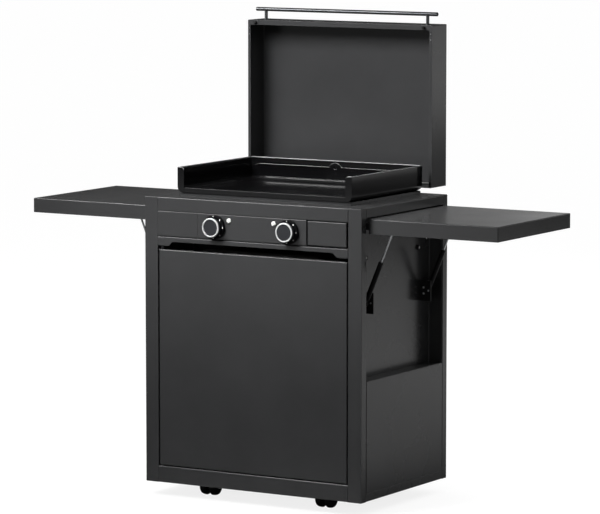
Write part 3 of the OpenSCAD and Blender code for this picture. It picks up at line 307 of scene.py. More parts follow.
@dataclass(frozen=True)
class RimHighlightEnamel(Finish):
    """Glass-like black enamel with a painted highlight: pale on its rounded upper rims and above its top."""

    rim_z: float = 0.9545
    top_z: float = 0.9797
    rim_highlight_grey: float = 0.26

    def marked_and_highlit(self, graph: Graph, colour: bpy.types.NodeSocket) -> bpy.types.NodeSocket:
        """Returns the colour paled as a painted highlight above top_z, and where the surface is above rim_z and its
        normal leans upward.
        """
        height = graph.add("SeparateXYZ", {0: graph.add("TexCoord").outputs["Object"]}).outputs[2]
        lean = graph.add("SeparateXYZ", {0: graph.add("NewGeometry").outputs["Normal"]}).outputs[2]
        above = graph.math("GREATER_THAN", height, self.rim_z)
        upward = graph.add("MapRange", {"Value": lean, "From Min": 0.1, "From Max": 0.5}).outputs[0]
        over = graph.math("GREATER_THAN", height, self.top_z)
        # Painted highlight: the rims and the very top are paled towards a grey.
        mask = graph.math("MAXIMUM", graph.math("MULTIPLY", above, upward), over)
        return self.towards(graph, mask, colour, (self.rim_highlight_grey,) * 3, 1.0)


class Coat(Enum):
    """The finishes of this cart, by the record's material slot."""

    POWDER = Finish("anthracite_powder_coat", (0.033, 0.0334, 0.0345), 0.25, edge_radius=1.6,
                    edge_wear_highlight=0.3, rough_spread=0.02, grain_depth=0.008)
    DARK = Finish("dark_inner_paint", (0.010, 0.0102, 0.011), 0.34, specular=0.4, edge_wear_highlight=0.2, grain_depth=0.03)
    BLACK = Finish("satin_black_paint", (0.010, 0.010, 0.011), 0.38, specular=0.2)
    ENAMEL = RimHighlightEnamel("black_enamel_painted_rims", (0.003, 0.003, 0.0034), 0.12, specular=0.36, rough_spread=0.03,
                          grain_scale=260.0, grain_depth=0.015, edge_wear_highlight=0.05, dust=0.01)
    STEEL = BareSteel("satin_steel", (0.56, 0.57, 0.58), 0.3, metallic=1.0, grain_depth=0.08, rough_spread=0.08)
    POLISHED = BareSteel("polished_steel", (0.66, 0.67, 0.69), 0.16, metallic=1.0, grain_depth=0.02, rough_spread=0.04)
    # Painted shade: the handle's polished steel is darkened, and nearly black at grazing angles, to stand for dark
    # reflections.
    SHADED_HANDLE = BareSteel("handle_steel_painted_dark", (0.085, 0.087, 0.09), 0.3, metallic=1.0, grain_depth=0.0,
                       rough_spread=0.0, tone_spread=0.0, dust=0.0, painted_grazing_tint=0.05)
    RING = BareSteel("bright_ring_steel", (0.8, 0.8, 0.8), 0.35, metallic=0.45, grain_depth=0.0, rough_spread=0.0,
                     tone_spread=0.0, dust=0.0)
    RIVET = BareSteel("dull_rivet_steel", (0.22, 0.225, 0.23), 0.42, metallic=1.0, grain_depth=0.02, rough_spread=0.05)
    SHADED_PIPE = Finish("gas_pipe_painted_shade", (0.012, 0.012, 0.013), 0.55, specular=0.1, edge_wear_highlight=0.05, dust=0.0)
    ZINC = BareSteel("zinc_plated_steel", (0.5, 0.51, 0.53), 0.36, metallic=1.0, grain_depth=0.04, rough_spread=0.1)
    TUBE = Finish("glossy_black_tube", (0.006, 0.006, 0.007), 0.3, specular=0.12, grain_depth=0.02, edge_wear_highlight=0.2)
    PLASTIC = Finish("matte_black_plastic", (0.0035, 0.0035, 0.004), 0.45, specular=0.06, edge_wear_highlight=0.12,
                     grain_scale=1500.0, grain_depth=0.1)
    KNOB = Finish("dark_grey_plastic", (0.026, 0.027, 0.030), 0.42, specular=0.18, grain_scale=1500.0, grain_depth=0.08)
    MARK = Finish("grey_mark_plastic", (0.3, 0.3, 0.31), 0.45, specular=0.2, grain_depth=0.02)
    WHITE = Finish("white_plastic", (0.78, 0.78, 0.76), 0.25, grain_depth=0.01, tone_spread=0.01,
                   edge_wear_highlight=0.0)
    RUBBER = Finish("black_rubber", (0.011, 0.011, 0.011), 0.62, specular=0.12, grain_scale=1200.0, grain_depth=0.15)


SLOTS = {
    "powder_coat": Coat.POWDER,
    "dark_steel": Coat.DARK,
    "black_paint": Coat.BLACK,
    "enamel": Coat.ENAMEL,
    "bright_steel": Coat.STEEL,
    "zinc_steel": Coat.ZINC,
    "black_plastic": Coat.PLASTIC,
    "knob_grey": Coat.KNOB,
    "white_plastic": Coat.WHITE,
    "rubber": Coat.RUBBER,
}


@dataclass
class PackedParts:
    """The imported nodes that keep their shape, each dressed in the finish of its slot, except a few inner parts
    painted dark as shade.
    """

    frame: dict
    # Painted shade: the gas manifold, valves and door pivots are painted near black for the shade they sit in, in place
    # of their slots' finish.
    inner: ClassVar[dict[str, Coat]] = {"gas_manifold": Coat.SHADED_PIPE, "gas_valves": Coat.SHADED_PIPE, "door_pivots": Coat.SHADED_PIPE}

    def slots(self) -> dict[str, str]:
        """Returns each node's material slot, as the record gives it."""
        return {part["node"]: part["material_slot"] for part in self.frame["record"]["subparts"]}

    def dress(self) -> None:
        """Puts each node's finish on it."""
        for node, slot in self.slots().items():
            if node in self.frame["nodes"]:
                coat = self.inner.get(node, SLOTS[slot])
                coat.value.dress([self.frame["nodes"][node]])
                log.info("dressed %s in %s", node, coat.value.name)


class Axis(Enum):
    """Directions in which a turned piece lies, or that span a plate."""

    ACROSS = (1.0, 0.0, 0.0)
    BACK = (0.0, 1.0, 0.0)
    FRONT = (0.0, -1.0, 0.0)
    UP = (0.0, 0.0, 1.0)


@dataclass
class Patch:
    """Points in the cart's millimetres, and the faces that join them."""

    points: np.ndarray
    faces: list[Sequence[int]]

    def mirrored(self, axis: int = 0, about: float = 0.0) -> "Patch":
        """Returns its mirror image across the plane where the axis's coordinate is `about`."""
        points = self.points.copy()
        points[:, axis] = 2.0 * about - points[:, axis]
        return Patch(points, self.faces)


def netted(points: np.ndarray, closed_u: bool = False, closed_v: bool = False, capped: bool = False) -> Patch:
    """Joins a grid of points into quads: face (i, j) has the corners (i, j), (i+1, j), (i+1, j+1), (i, j+1).

    Args:
        points: array of shape (u, v, 3).
        closed_u: whether the last row joins the first.
        closed_v: whether the last column joins the first.
        capped: whether the first and last rows are filled.

    Returns:
        The patch.
    """
    rows, columns = points.shape[:2]
    index = np.arange(rows * columns).reshape(rows, columns)
    if closed_u:
        index = np.vstack([index, index[:1]])
    if closed_v:
        index = np.hstack([index, index[:, :1]])
    quads = np.stack([index[:-1, :-1], index[1:, :-1], index[1:, 1:], index[:-1, 1:]], axis=-1).reshape(-1, 4)
    faces = quads.tolist()
    if capped:
        faces += [list(range(columns)), list(range((rows - 1) * columns, rows * columns))]
    return Patch(points.reshape(-1, 3), faces)


def softened(corners: Sequence[Sequence[float]], cut: float, steps: int = 5, closed: bool = False) -> np.ndarray:
    """Rounds a line's corners: each becomes a quadratic curve from `cut` before it to `cut` after it.

    Args:
        corners: the line's points, in two or three dimensions.
        cut: length taken from each side of a corner.
        steps: points on each curve.
        closed: whether the line is a loop, which has no fixed ends.

    Returns:
        The rounded line's points.
    """
    line = np.asarray(corners, float)
    here = line if closed else line[1:-1]
    before = np.roll(line, 1, axis=0) if closed else line[:-2]
    after = np.roll(line, -1, axis=0) if closed else line[2:]
    back, fore = before - here, after - here
    back_len = np.linalg.norm(back, axis=1, keepdims=True)
    fore_len = np.linalg.norm(fore, axis=1, keepdims=True)
    reach = np.minimum(cut, 0.45 * np.minimum(back_len, fore_len))
    start, end = here + back / back_len * reach, here + fore / fore_len * reach
    part = np.linspace(0.0, 1.0, steps)[None, :, None]
    curve = (1 - part) ** 2 * start[:, None] + 2 * part * (1 - part) * here[:, None] + part**2 * end[:, None]
    flat = curve.reshape(-1, line.shape[1])
    return flat if closed else np.concatenate([line[:1], flat, line[-1:]])


def arc(centre: Sequence[float], radius: float, start: float, end: float, steps: int = 12) -> np.ndarray:
    """Points of an arc: centre + radius * (cos a, sin a), with the angles in degrees."""
    angle = np.radians(np.linspace(start, end, steps + 1))
    return np.asarray(centre) + radius * np.stack([np.cos(angle), np.sin(angle)], axis=1)


def turned(profile: Sequence[Sequence[float]], origin: Sequence[float], axis: Sequence[float], segments: int = 64,
           loop: bool = False, grooves: int = 0, groove_depth: float = 0.0, groove_from: float = math.inf) -> Patch:
    """Surface of revolution: origin + height * axis + radius * (cos a * side + sin a * up).

    Args:
        profile: pairs of radius and height.
        origin: the point where the height is nil.
        axis: direction of the height.
        segments: steps round the axis.
        loop: whether the profile is a closed ring.
        grooves: number of flutes cut round the side.
        groove_depth: depth of a flute, as a cosine raised to the fourth power.
        groove_from: radius beyond which the profile is fluted.

    Returns:
        The patch.
    """
    line = np.asarray(profile, float)
    way = np.asarray(axis, float) / np.linalg.norm(axis)
    helper = np.array([0.0, 0.0, 1.0]) if abs(way[2]) < 0.9 else np.array([0.0, 1.0, 0.0])
    side = np.cross(helper, way)
    side /= np.linalg.norm(side)
    up = np.cross(way, side)
    angle = np.linspace(0.0, 2.0 * np.pi, segments, endpoint=False)
    radius = np.repeat(line[None, :, 0], segments, axis=0)
    flute = np.cos(0.5 * grooves * angle)[:, None] ** 4 * groove_depth
    radius = radius - np.where(radius > groove_from, flute, 0.0)
    ring = np.cos(angle)[:, None] * side + np.sin(angle)[:, None] * up
    points = np.asarray(origin, float) + line[None, :, 1, None] * way + radius[..., None] * ring[:, None, :]
    return netted(points, closed_u=True, closed_v=loop)


def plate(outline: np.ndarray, depth: float, origin: Sequence[float], across: Sequence[float],
          up: Sequence[float]) -> Patch:
    """Flat plate: origin + u * across + v * up over its outline, carried by depth along across x up."""
    across, up = np.asarray(across, float), np.asarray(up, float)
    flat = np.asarray(origin, float) + outline[:, :1] * across + outline[:, 1:] * up
    rows = np.stack([flat, flat + np.cross(across, up) * depth])
    return netted(rows, closed_v=True, capped=True)


def holed_plate(outline: np.ndarray, centre: Sequence[float], radius: float, depth: float, origin: Sequence[float],
                across: Sequence[float], up: Sequence[float], tube: Sequence[Sequence[float]] = ()) -> Patch:
    """Plate with a round hole: for each outline point a section runs out along the ray from the hole's centre.

    Args:
        outline: the plate's edge, seen whole from the hole's centre.
        centre: the hole's centre in the plate's plane.
        radius: the hole's radius.
        depth: thickness, along across x up.
        origin: the plane's origin.
        across: the plane's first axis.
        up: the plane's second axis.
        tube: pairs of radius and depth of a spout round the hole.

    Returns:
        The closed patch.
    """
    away = outline - np.asarray(centre, float)
    length = np.linalg.norm(away, axis=1, keepdims=True)
    ray = away / length
    stops = [(radius, 0.0), (None, 0.0), (None, depth), *tube] + ([] if tube else [(radius, depth)])
    across, up = np.asarray(across, float), np.asarray(up, float)
    through = np.cross(across, up)
    columns = []
    for reach, level in stops:
        spot = np.asarray(centre) + ray * (length if reach is None else reach)
        columns.append(np.asarray(origin, float) + spot[:, :1] * across + spot[:, 1:] * up + through * level)
    return netted(np.stack(columns, axis=1), closed_u=True, closed_v=True)


def pressed_wall(half_x: float, front: float, rear: float, corner: float, section: np.ndarray) -> Patch:
    """Wall round three sides of a pan: a section of (inset, height) is carried round the right, the rear and the left.

    In a corner a point with inset i lies at its centre + max(corner - i, 0) * (cos a, sin a), and past the corner's
    radius all of them meet on the mitre.

    Args:
        half_x: half width over the outside.
        front: Y of the two ends.
        rear: Y of the rear's outside.
        corner: outer radius of the corners, seen from above.
        section: the wall's closed section.

    Returns:
        The closed patch.
    """
    inset, level = section[:, 0], section[:, 1]
    angle = np.radians(np.linspace(0.0, 90.0, 9))[:, None]
    bend, past = np.maximum(corner - inset, 0.0), np.maximum(inset - corner, 0.0)
    turn_x = half_x - corner - past + bend * np.cos(angle)
    turn_y = rear - corner - past + bend * np.sin(angle)
    first_x, first_y = (half_x - inset)[None, :], np.full((1, len(inset)), front)
    x, y = np.vstack([first_x, turn_x]), np.vstack([first_y, turn_y])
    x, y = np.vstack([x, -x[::-1]]), np.vstack([y, y[::-1]])
    points = np.stack([x, y, np.broadcast_to(level, x.shape)], axis=-1)
    return netted(points, closed_v=True, capped=True)


@dataclass
class Workshop:
    """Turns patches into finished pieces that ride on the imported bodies."""

    zero: tuple[float, float, float] = (0.0, 282.2, -41.0)
    weld: float = 2e-6
    sharp_angle: float = 38.0
    bevel_angle: float = 30.0

    def piece(self, name: str, patches: Sequence[Patch], body: str, slot: str, coat: Optional[Coat] = None,
              stands_for: Sequence[str] = (), bevel: float = 0.0) -> bpy.types.Object:
        """Makes one object from patches, with its place in its mesh.

        Args:
            name: the piece's name.
            patches: its surfaces, in the cart's millimetres.
            body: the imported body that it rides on.
            slot: the record's material slot.
            coat: its finish, or None for the slot's own.
            stands_for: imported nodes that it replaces.
            bevel: width in millimetres of a bevel on its sharp edges.

        Returns:
            The object.
        """
        starts = np.cumsum([0] + [len(part.points) for part in patches[:-1]])
        points = (np.concatenate([part.points for part in patches]) - np.asarray(self.zero)) * MM
        faces = [[corner + int(start) for corner in face]
                 for part, start in zip(patches, starts) for face in part.faces]
        mesh = bpy.data.meshes.new(name)
        mesh.from_pydata(points.tolist(), [], faces)
        work = bmesh.new()
        work.from_mesh(mesh)
        bmesh.ops.remove_doubles(work, verts=work.verts, dist=self.weld)
        bmesh.ops.recalc_face_normals(work, faces=work.faces)
        work.to_mesh(mesh)
        work.free()
        mesh.shade_smooth()
        mesh.set_sharp_from_angle(angle=math.radians(self.sharp_angle))
        made = bpy.data.objects.new(name, mesh)
        bpy.context.scene.collection.objects.link(made)
        if bevel:
            rounding = made.modifiers.new("edges", "BEVEL")
            rounding.width, rounding.segments = bevel * MM, 3
            rounding.limit_method, rounding.angle_limit = "ANGLE", math.radians(self.bevel_angle)
            rounding.harden_normals = True
        (coat or SLOTS[slot]).value.dress([made])
        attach(made, body)
        if stands_for:
            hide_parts(*stands_for)
        log.info("made %s: %d faces, rides on %s", name, len(mesh.polygons), body)
        return made


@dataclass
class GasControls:
    """Bezels with their dial dots, knobs with bright rings, and the igniter buttons."""

    shop: Workshop
    axis_x: float = 126.0
    axis_z: float = 777.0
    bezel_r: float = 36.0
    bezel_t: float = 10.0
    dots: int = 8
    dot_r: float = 1.9
    dot_ring: float = 31.9
    knob_r: float = 28.5
    knob_face: float = -25.5
    knob_back: float = -13.5
    ring_front: float = -27.0
    ring_back: float = -23.05
    ring_w: float = 4.5
    igniter_x: float = 77.0
    igniter_z: float = 798.0
    igniter_r: float = 6.8

    def bezels(self) -> None:
        """Turned black discs with a chamfered rim, and a ring of small domed dots on each."""
        rim = softened([(6.0, 0.0), (6.0, -self.bezel_t), (self.bezel_r - 2.5, -self.bezel_t),
                        (self.bezel_r, 2.5 - self.bezel_t), (self.bezel_r, 0.0)], 0.5, closed=True)
        dome = [(0.0, -0.4), (0.9, -0.36), (1.5, -0.2), (self.dot_r, 0.05), (self.dot_r, 0.5), (0.0, 0.5)]
        angle = np.radians(np.arange(self.dots) * 360.0 / self.dots)
        discs, dots = [], []
        for x in (-self.axis_x, self.axis_x):
            discs.append(turned(rim, (x, 0.0, self.axis_z), Axis.BACK.value, 96, loop=True))
            spots = np.stack([x + self.dot_ring * np.cos(angle), np.full(self.dots, -self.bezel_t),
                              self.axis_z + self.dot_ring * np.sin(angle)], axis=1)
            dots += [turned(dome, spot, Axis.BACK.value, 20) for spot in spots]
        self.shop.piece("bezel_discs", discs, "cart", "black_plastic", stands_for=["knob_bezels"])
        self.shop.piece("dial_dots", dots, "cart", "white_plastic")

    def knob(self, side: str, x: float) -> None:
        """One fluted knob with fine rings on its recessed face, and its bright ring."""
        radius = np.linspace(0.0, self.knob_r - self.ring_w - 0.6, 68)
        face = self.knob_face + 0.07 * np.cos(2.0 * np.pi * radius / 1.3) * np.clip(radius - 2.0, 0.0, 1.0)
        rest = softened([(self.knob_r - self.ring_w, self.knob_face), (self.knob_r - self.ring_w, -23.0), (27.6, -23.0),
                         (self.knob_r, -22.1), (self.knob_r, -20.0), (self.knob_r, -16.5), (self.knob_r, -14.4),
                         (27.6, self.knob_back), (0.0, self.knob_back)], 0.3)
        body = np.concatenate([np.stack([radius, face], axis=1), rest])
        middle = (x, 0.0, self.axis_z)
        cap = turned(body, middle, Axis.BACK.value, 240, grooves=30, groove_depth=0.45, groove_from=28.0)
        self.shop.piece(f"knob_cap_{side}", [cap], f"knob_{side}", "knob_grey", stands_for=[f"knob_{side}"])
        inner = self.knob_r - self.ring_w + 0.05
        ring = softened([(inner, self.ring_back), (inner, self.ring_front + 0.4), (inner + 0.6, self.ring_front),
                         (self.knob_r - 1.0, self.ring_front), (self.knob_r, self.ring_front + 1.0),
                         (self.knob_r, self.ring_back)], 0.35, closed=True)
        self.shop.piece(f"knob_band_{side}", [turned(ring, middle, Axis.BACK.value, 128, loop=True)], f"knob_{side}",
                        "bright_steel", Coat.RING, [f"knob_ring_{side}"])

    def igniter(self, side: str, x: float) -> None:
        """One domed white button with its collar behind the panel, and the grey spark mark in its middle."""
        cap = softened([(0.0, -4.95), (4.6, -4.9), (self.igniter_r, -3.4), (self.igniter_r, 1.8), (8.6, 1.8),
                        (8.6, 5.5), (4.0, 5.5), (4.0, 11.0), (0.0, 11.0)], 0.7)
        mark = [(0.0, -5.1), (1.3, -5.08), (1.7, -4.9), (1.7, -4.5), (0.0, -4.5)]
        middle = (x, 0.0, self.igniter_z)
        self.shop.piece(f"igniter_cap_{side}", [turned(cap, middle, Axis.BACK.value, 48)], f"igniter_{side}",
                        "white_plastic", stands_for=[f"igniter_{side}"])
        self.shop.piece(f"igniter_mark_{side}", [turned(mark, middle, Axis.BACK.value, 24)], f"igniter_{side}",
                        "knob_grey", Coat.MARK)

    def build(self) -> None:
        """Builds all of the controls."""
        self.bezels()
        for side, sign in (("left", -1.0), ("right", 1.0)):
            self.knob(side, sign * self.axis_x)
            self.igniter(side, sign * self.igniter_x)


@dataclass
class Griddle:
    """Pressed splash guard and the enamelled cooking plate that nests in it."""

    shop: Workshop
    half_x: float = 300.0
    front: float = 66.5
    rear: float = 485.5
    low: float = 865.0
    top: float = 941.0
    sheet: float = 3.0
    bend: float = 18.0
    fold: float = 23.0
    fold_corner: float = 12.0
    nest: float = 0.3
    lip: float = 15.0
    ledge: float = 921.0
    ledge_corner: float = 32.0
    tab_r: float = 25.0
    tab_z: float = 909.4
    tab_hole_z: float = 919.0
    tab_hole_r: float = 5.0
    drain: tuple[float, float] = (255.7, 230.0)
    drain_r: float = 11.0
    spout_low: float = 781.0

    def wall_section(self, low: float, top: float, bend: float, foot: float) -> np.ndarray:
        """Section of a pressed wall: up its inside, over a half-round rim, down its outside and round the lower bend.

        Args:
            low: height of the underside.
            top: height of the rim.
            bend: outer radius of the lower bend.
            foot: how far the floor reaches in past the bend.

        Returns:
            The closed section as (inset, height) pairs.
        """
        half = self.sheet / 2.0
        rim = arc((half, top - half), half, 0.0, 180.0, 8)
        outside = arc((bend, low + bend), bend, 180.0, 270.0, 14)
        inside = arc((bend, low + bend), bend - self.sheet, 270.0, 180.0, 14)
        end = np.array([[bend + foot, low], [bend + foot, low + self.sheet]])
        return np.concatenate([rim, outside, end, inside])

    def guard(self) -> None:
        """Splash guard: a wall round three sides and two folded front ends with round upper corners."""
        wall = pressed_wall(self.half_x, self.front + 1.5, self.rear, 4.0,
                            self.wall_section(self.low, self.top, self.bend, 0.05))
        inner, corner = self.half_x - self.fold, self.fold_corner
        outline = np.concatenate([
            [(inner, self.low)],
            arc((self.half_x - self.bend, self.low + self.bend), self.bend, -90.0, 0.0, 12),
            arc((self.half_x - 2.0, self.top - 2.0), 2.0, 0.0, 90.0, 5),
            arc((inner + corner, self.top - corner), corner, 90.0, 180.0, 12),
        ])
        fold = plate(outline, -self.sheet, (0.0, self.front, 0.0), (1.0, 0.0, 0.0), (0.0, 0.0, 1.0))
        self.shop.piece("pressed_guard", [wall], "cart", "enamel", stands_for=["splash_guard"])
        self.shop.piece("guard_front_folds", [fold, fold.mirrored()], "cart", "enamel", bevel=1.1)

    def cooking_plate(self) -> None:
        """Plate: bent edge, floor with the drain and its spout, rear wall with the tab, and front lip."""
        half_x = self.half_x - self.sheet - self.nest
        front, rear = self.front + self.sheet + self.nest, self.rear - self.sheet - self.nest
        low, bend = self.low + self.sheet + self.nest, self.bend - self.sheet - self.nest
        edge = pressed_wall(half_x, front, rear, 4.0, self.wall_section(low, low + bend, bend, 6.0))
        inset = bend + 6.0
        left, right, back = inset - half_x, half_x - inset, rear - inset
        along, deep = np.linspace(left, right, 40), np.linspace(front, back, 30)
        outline = np.concatenate([
            np.stack([along, np.full(40, front)], 1), np.stack([np.full(28, right), deep[1:-1]], 1),
            np.stack([along[::-1], np.full(40, back)], 1), np.stack([np.full(28, left), deep[::-1][1:-1]], 1),
        ])
        pipe = self.drain_r + 2.0
        drop = low + self.sheet - self.spout_low
        floor = holed_plate(outline, self.drain, self.drain_r, -self.sheet, (0.0, 0.0, low + self.sheet),
                            Axis.ACROSS.value, Axis.BACK.value,
                            tube=[(pipe, -self.sheet), (pipe, -drop), (self.drain_r, -drop)])
        self.shop.piece("plate_pan", [edge, floor], "cart", "enamel", stands_for=["cooking_plate"])
        base, corner = low + bend - 3.0, self.ledge_corner
        opening = math.degrees(math.asin((self.ledge - self.tab_z) / self.tab_r))
        wall = np.concatenate([
            np.stack([np.linspace(-half_x, half_x, 61), np.full(61, base)], 1),
            arc((half_x - corner, self.ledge - corner), corner, 0.0, 90.0, 14),
            np.stack([np.linspace(half_x - corner, 26.0, 24)[1:], np.full(23, self.ledge)], 1),
            arc((0.0, self.tab_z), self.tab_r, opening, 180.0 - opening, 20),
            np.stack([np.linspace(-26.0, corner - half_x, 24)[:-1], np.full(23, self.ledge)], 1),
            arc((corner - half_x, self.ledge - corner), corner, 90.0, 180.0, 14),
        ])
        rear_wall = holed_plate(wall, (0.0, self.tab_hole_z), self.tab_hole_r, -self.sheet,
                                (0.0, rear - self.sheet, 0.0), Axis.ACROSS.value, Axis.UP.value)
        lip_x = self.half_x - self.fold - self.nest
        lip = np.array([(self.front, self.low), (self.front + 4.0, self.low), (self.front + 4.0, self.low + self.lip),
                        (self.front, self.low + self.lip)])
        front_lip = plate(lip, 2.0 * lip_x, (-lip_x, 0.0, 0.0), (0.0, 1.0, 0.0), (0.0, 0.0, 1.0))
        self.shop.piece("plate_rear_wall", [rear_wall], "cart", "enamel", bevel=1.0)
        self.shop.piece("plate_front_lip", [front_lip], "cart", "enamel", bevel=1.3)

    def build(self) -> None:
        """Builds the guard and the plate."""
        self.guard()
        self.cooking_plate()


@dataclass
class LidFittings:
    """Handle, hinge rod, rubber buffers and rivets of the lid."""

    shop: Workshop
    half_x: float = 322.0
    rim: float = 499.8
    top: float = 1357.7
    handle_x: float = 317.0
    post_x: float = 283.0
    handle_y: float = 543.0
    handle_z: float = 1388.7
    handle_r: float = 6.0
    rod_x: float = 318.0
    rod_r: float = 4.0
    pivot: tuple[float, float] = (518.0, 883.0)
    buffer_x: float = 294.0
    buffer_reach: float = 8.5
    rivets: tuple[float, float] = (1332.0, 1314.0)

    def handle(self) -> None:
        """A round bar with softened ends on two posts with small feet."""
        end = self.handle_x
        bar = softened([(0.0, -end), (self.handle_r, -end), (self.handle_r, end), (0.0, end)], 1.2, 6)
        post = softened([(0.0, self.top), (7.5, self.top), (7.5, self.top + 1.4), (5.0, self.top + 2.4),
                         (5.0, self.handle_z), (0.0, self.handle_z)], 0.7)
        parts = [turned(bar, (0.0, self.handle_y, self.handle_z), Axis.ACROSS.value, 48)]
        parts += [turned(post, (x, self.handle_y, 0.0), Axis.UP.value, 40) for x in (-self.post_x, self.post_x)]
        self.shop.piece("handle_bar", parts, "lid", "bright_steel", Coat.SHADED_HANDLE, ["lid_handle"])

    def rod(self) -> None:
        """The hinge rod, with rounded ends."""
        end = self.rod_x
        line = softened([(0.0, -end), (self.rod_r, -end), (self.rod_r, end), (0.0, end)], 0.8)
        self.shop.piece("hinge_bar", [turned(line, (0.0, *self.pivot), Axis.ACROSS.value, 40)], "cart", "bright_steel",
                        Coat.RING, ["hinge_rod"])

    def buffers(self) -> None:
        """Two round rubber buffers at the ends of the upper rim."""
        line = softened([(0.0, 0.0), (5.0, 0.0), (5.0, self.buffer_reach), (0.0, self.buffer_reach)], 1.8, 7)
        spots = [(x, self.rim, self.top - 8.0) for x in (-self.buffer_x, self.buffer_x)]
        self.shop.piece("rim_buffers", [turned(line, spot, Axis.FRONT.value, 36) for spot in spots], "lid", "rubber",
                        stands_for=["lid_buffers"])

    def rim_rivets(self) -> None:
        """Two small round heads on each side rim, near the top."""
        head = [(0.0, 1.0), (0.9, 0.9), (1.6, 0.55), (2.0, 0.0), (2.0, -0.6), (0.0, -0.6)]
        spots = [(x, self.rim, z) for x in (4.5 - self.half_x, self.half_x - 4.5) for z in self.rivets]
        self.shop.piece("rim_rivets", [turned(head, spot, Axis.FRONT.value, 20) for spot in spots], "lid", "zinc_steel",
                        Coat.RIVET)

    def build(self) -> None:
        """Builds the lid's fittings."""
        self.handle()
        self.rod()
        self.buffers()
        self.rim_rivets()


@dataclass
class TableStruts:
    """Gas struts of the side tables, and the rivets of their brackets."""

    shop: Workshop
    low_x: float = 344.7
    low_z: float = 574.0
    near: float = 70.0
    far: float = 441.0
    tilt: float = 22.94753
    tube_len: float = 134.0
    tube_r: float = 7.5
    rod_r: float = 3.0
    length: float = 236.73464
    stud_r: float = 4.0
    stud_len: float = 14.7
    ear: float = 11.5
    rivet_r: float = 2.5

    def places(self, sign: float) -> list[tuple[np.ndarray, np.ndarray, np.ndarray]]:
        """Lower pivot, lengthwise direction and inward direction of the two struts on one side."""
        way = np.array([sign * math.sin(math.radians(self.tilt)), 0.0, math.cos(math.radians(self.tilt))])
        return [(np.array([sign * self.low_x, y, self.low_z]), way, np.array([0.0, inward, 0.0]))
                for y, inward in ((self.near, 1.0), (self.far, -1.0))]

    def side(self, side: str, sign: float) -> None:
        """Tubes with a rolled groove and a gland, and bright rods with their eyes and studs."""
        tube = softened([(0.0, 7.5), (4.3, 7.5), (4.3, 11.5), (6.6, 12.0), (self.tube_r, 13.6), (self.tube_r, 124.5),
                         (6.9, 125.3), (6.9, 126.3), (self.tube_r, 127.1), (self.tube_r, 132.4), (6.4, self.tube_len),
                         (self.rod_r + 0.05, self.tube_len), (self.rod_r + 0.05, 131.0), (0.0, 131.0)], 0.5)
        bore = self.stud_r + 0.05
        eye = softened([(bore, -5.0), (9.0, -5.0), (9.0, 5.0), (bore, 5.0)], 0.9, closed=True)
        rod = softened([(0.0, 121.0), (self.rod_r, 121.0), (self.rod_r, self.length - 14.0), (4.0, self.length - 10.5),
                        (4.0, self.length - 5.0), (0.0, self.length - 5.0)], 0.8)
        knuckle = softened([(0.0, -4.0), (7.0, -4.0), (7.0, 4.0), (self.stud_r, 4.0), (self.stud_r, self.stud_len),
                            (0.0, self.stud_len)], 0.7)
        tubes, rods = [], []
        for foot, way, inward in self.places(sign):
            tubes += [turned(tube, foot, way, 48), turned(eye, foot, inward, 48, loop=True)]
            rods += [turned(rod, foot, way, 32), turned(knuckle, foot + way * self.length, inward, 40)]
        self.shop.piece(f"strut_tubes_{side}", tubes, f"cylinders_{side}", "black_paint", Coat.TUBE,
                        [f"strut_cylinders_{side}"])
        self.shop.piece(f"strut_bars_{side}", rods, f"rods_{side}", "bright_steel", Coat.POLISHED,
                        [f"strut_rods_{side}"])

    def rivets(self) -> None:
        """Three domed rivets in each bracket, with their heads on the side away from the strut."""
        r = self.rivet_r
        line = softened([(0.0, 0.0), (r, 0.0), (r, 5.0), (r + 1.0, 5.0), (r + 1.0, 5.8), (r, 6.8), (0.0, 7.2)], 0.4)
        spread = [(-6.3, 9.0), (-6.3, -9.0), (9.7, 0.0)]
        heads = [turned(line, foot + inward * self.ear + np.array([sign * dx, 0.0, dz]), inward, 24)
                 for sign in (1.0, -1.0) for foot, _, inward in self.places(sign) for dx, dz in spread]
        self.shop.piece("bracket_rivets", heads, "cart", "zinc_steel", stands_for=["bracket_screws"])

    def build(self) -> None:
        """Builds both sides and the rivets."""
        self.side("right", 1.0)
        self.side("left", -1.0)
        self.rivets()


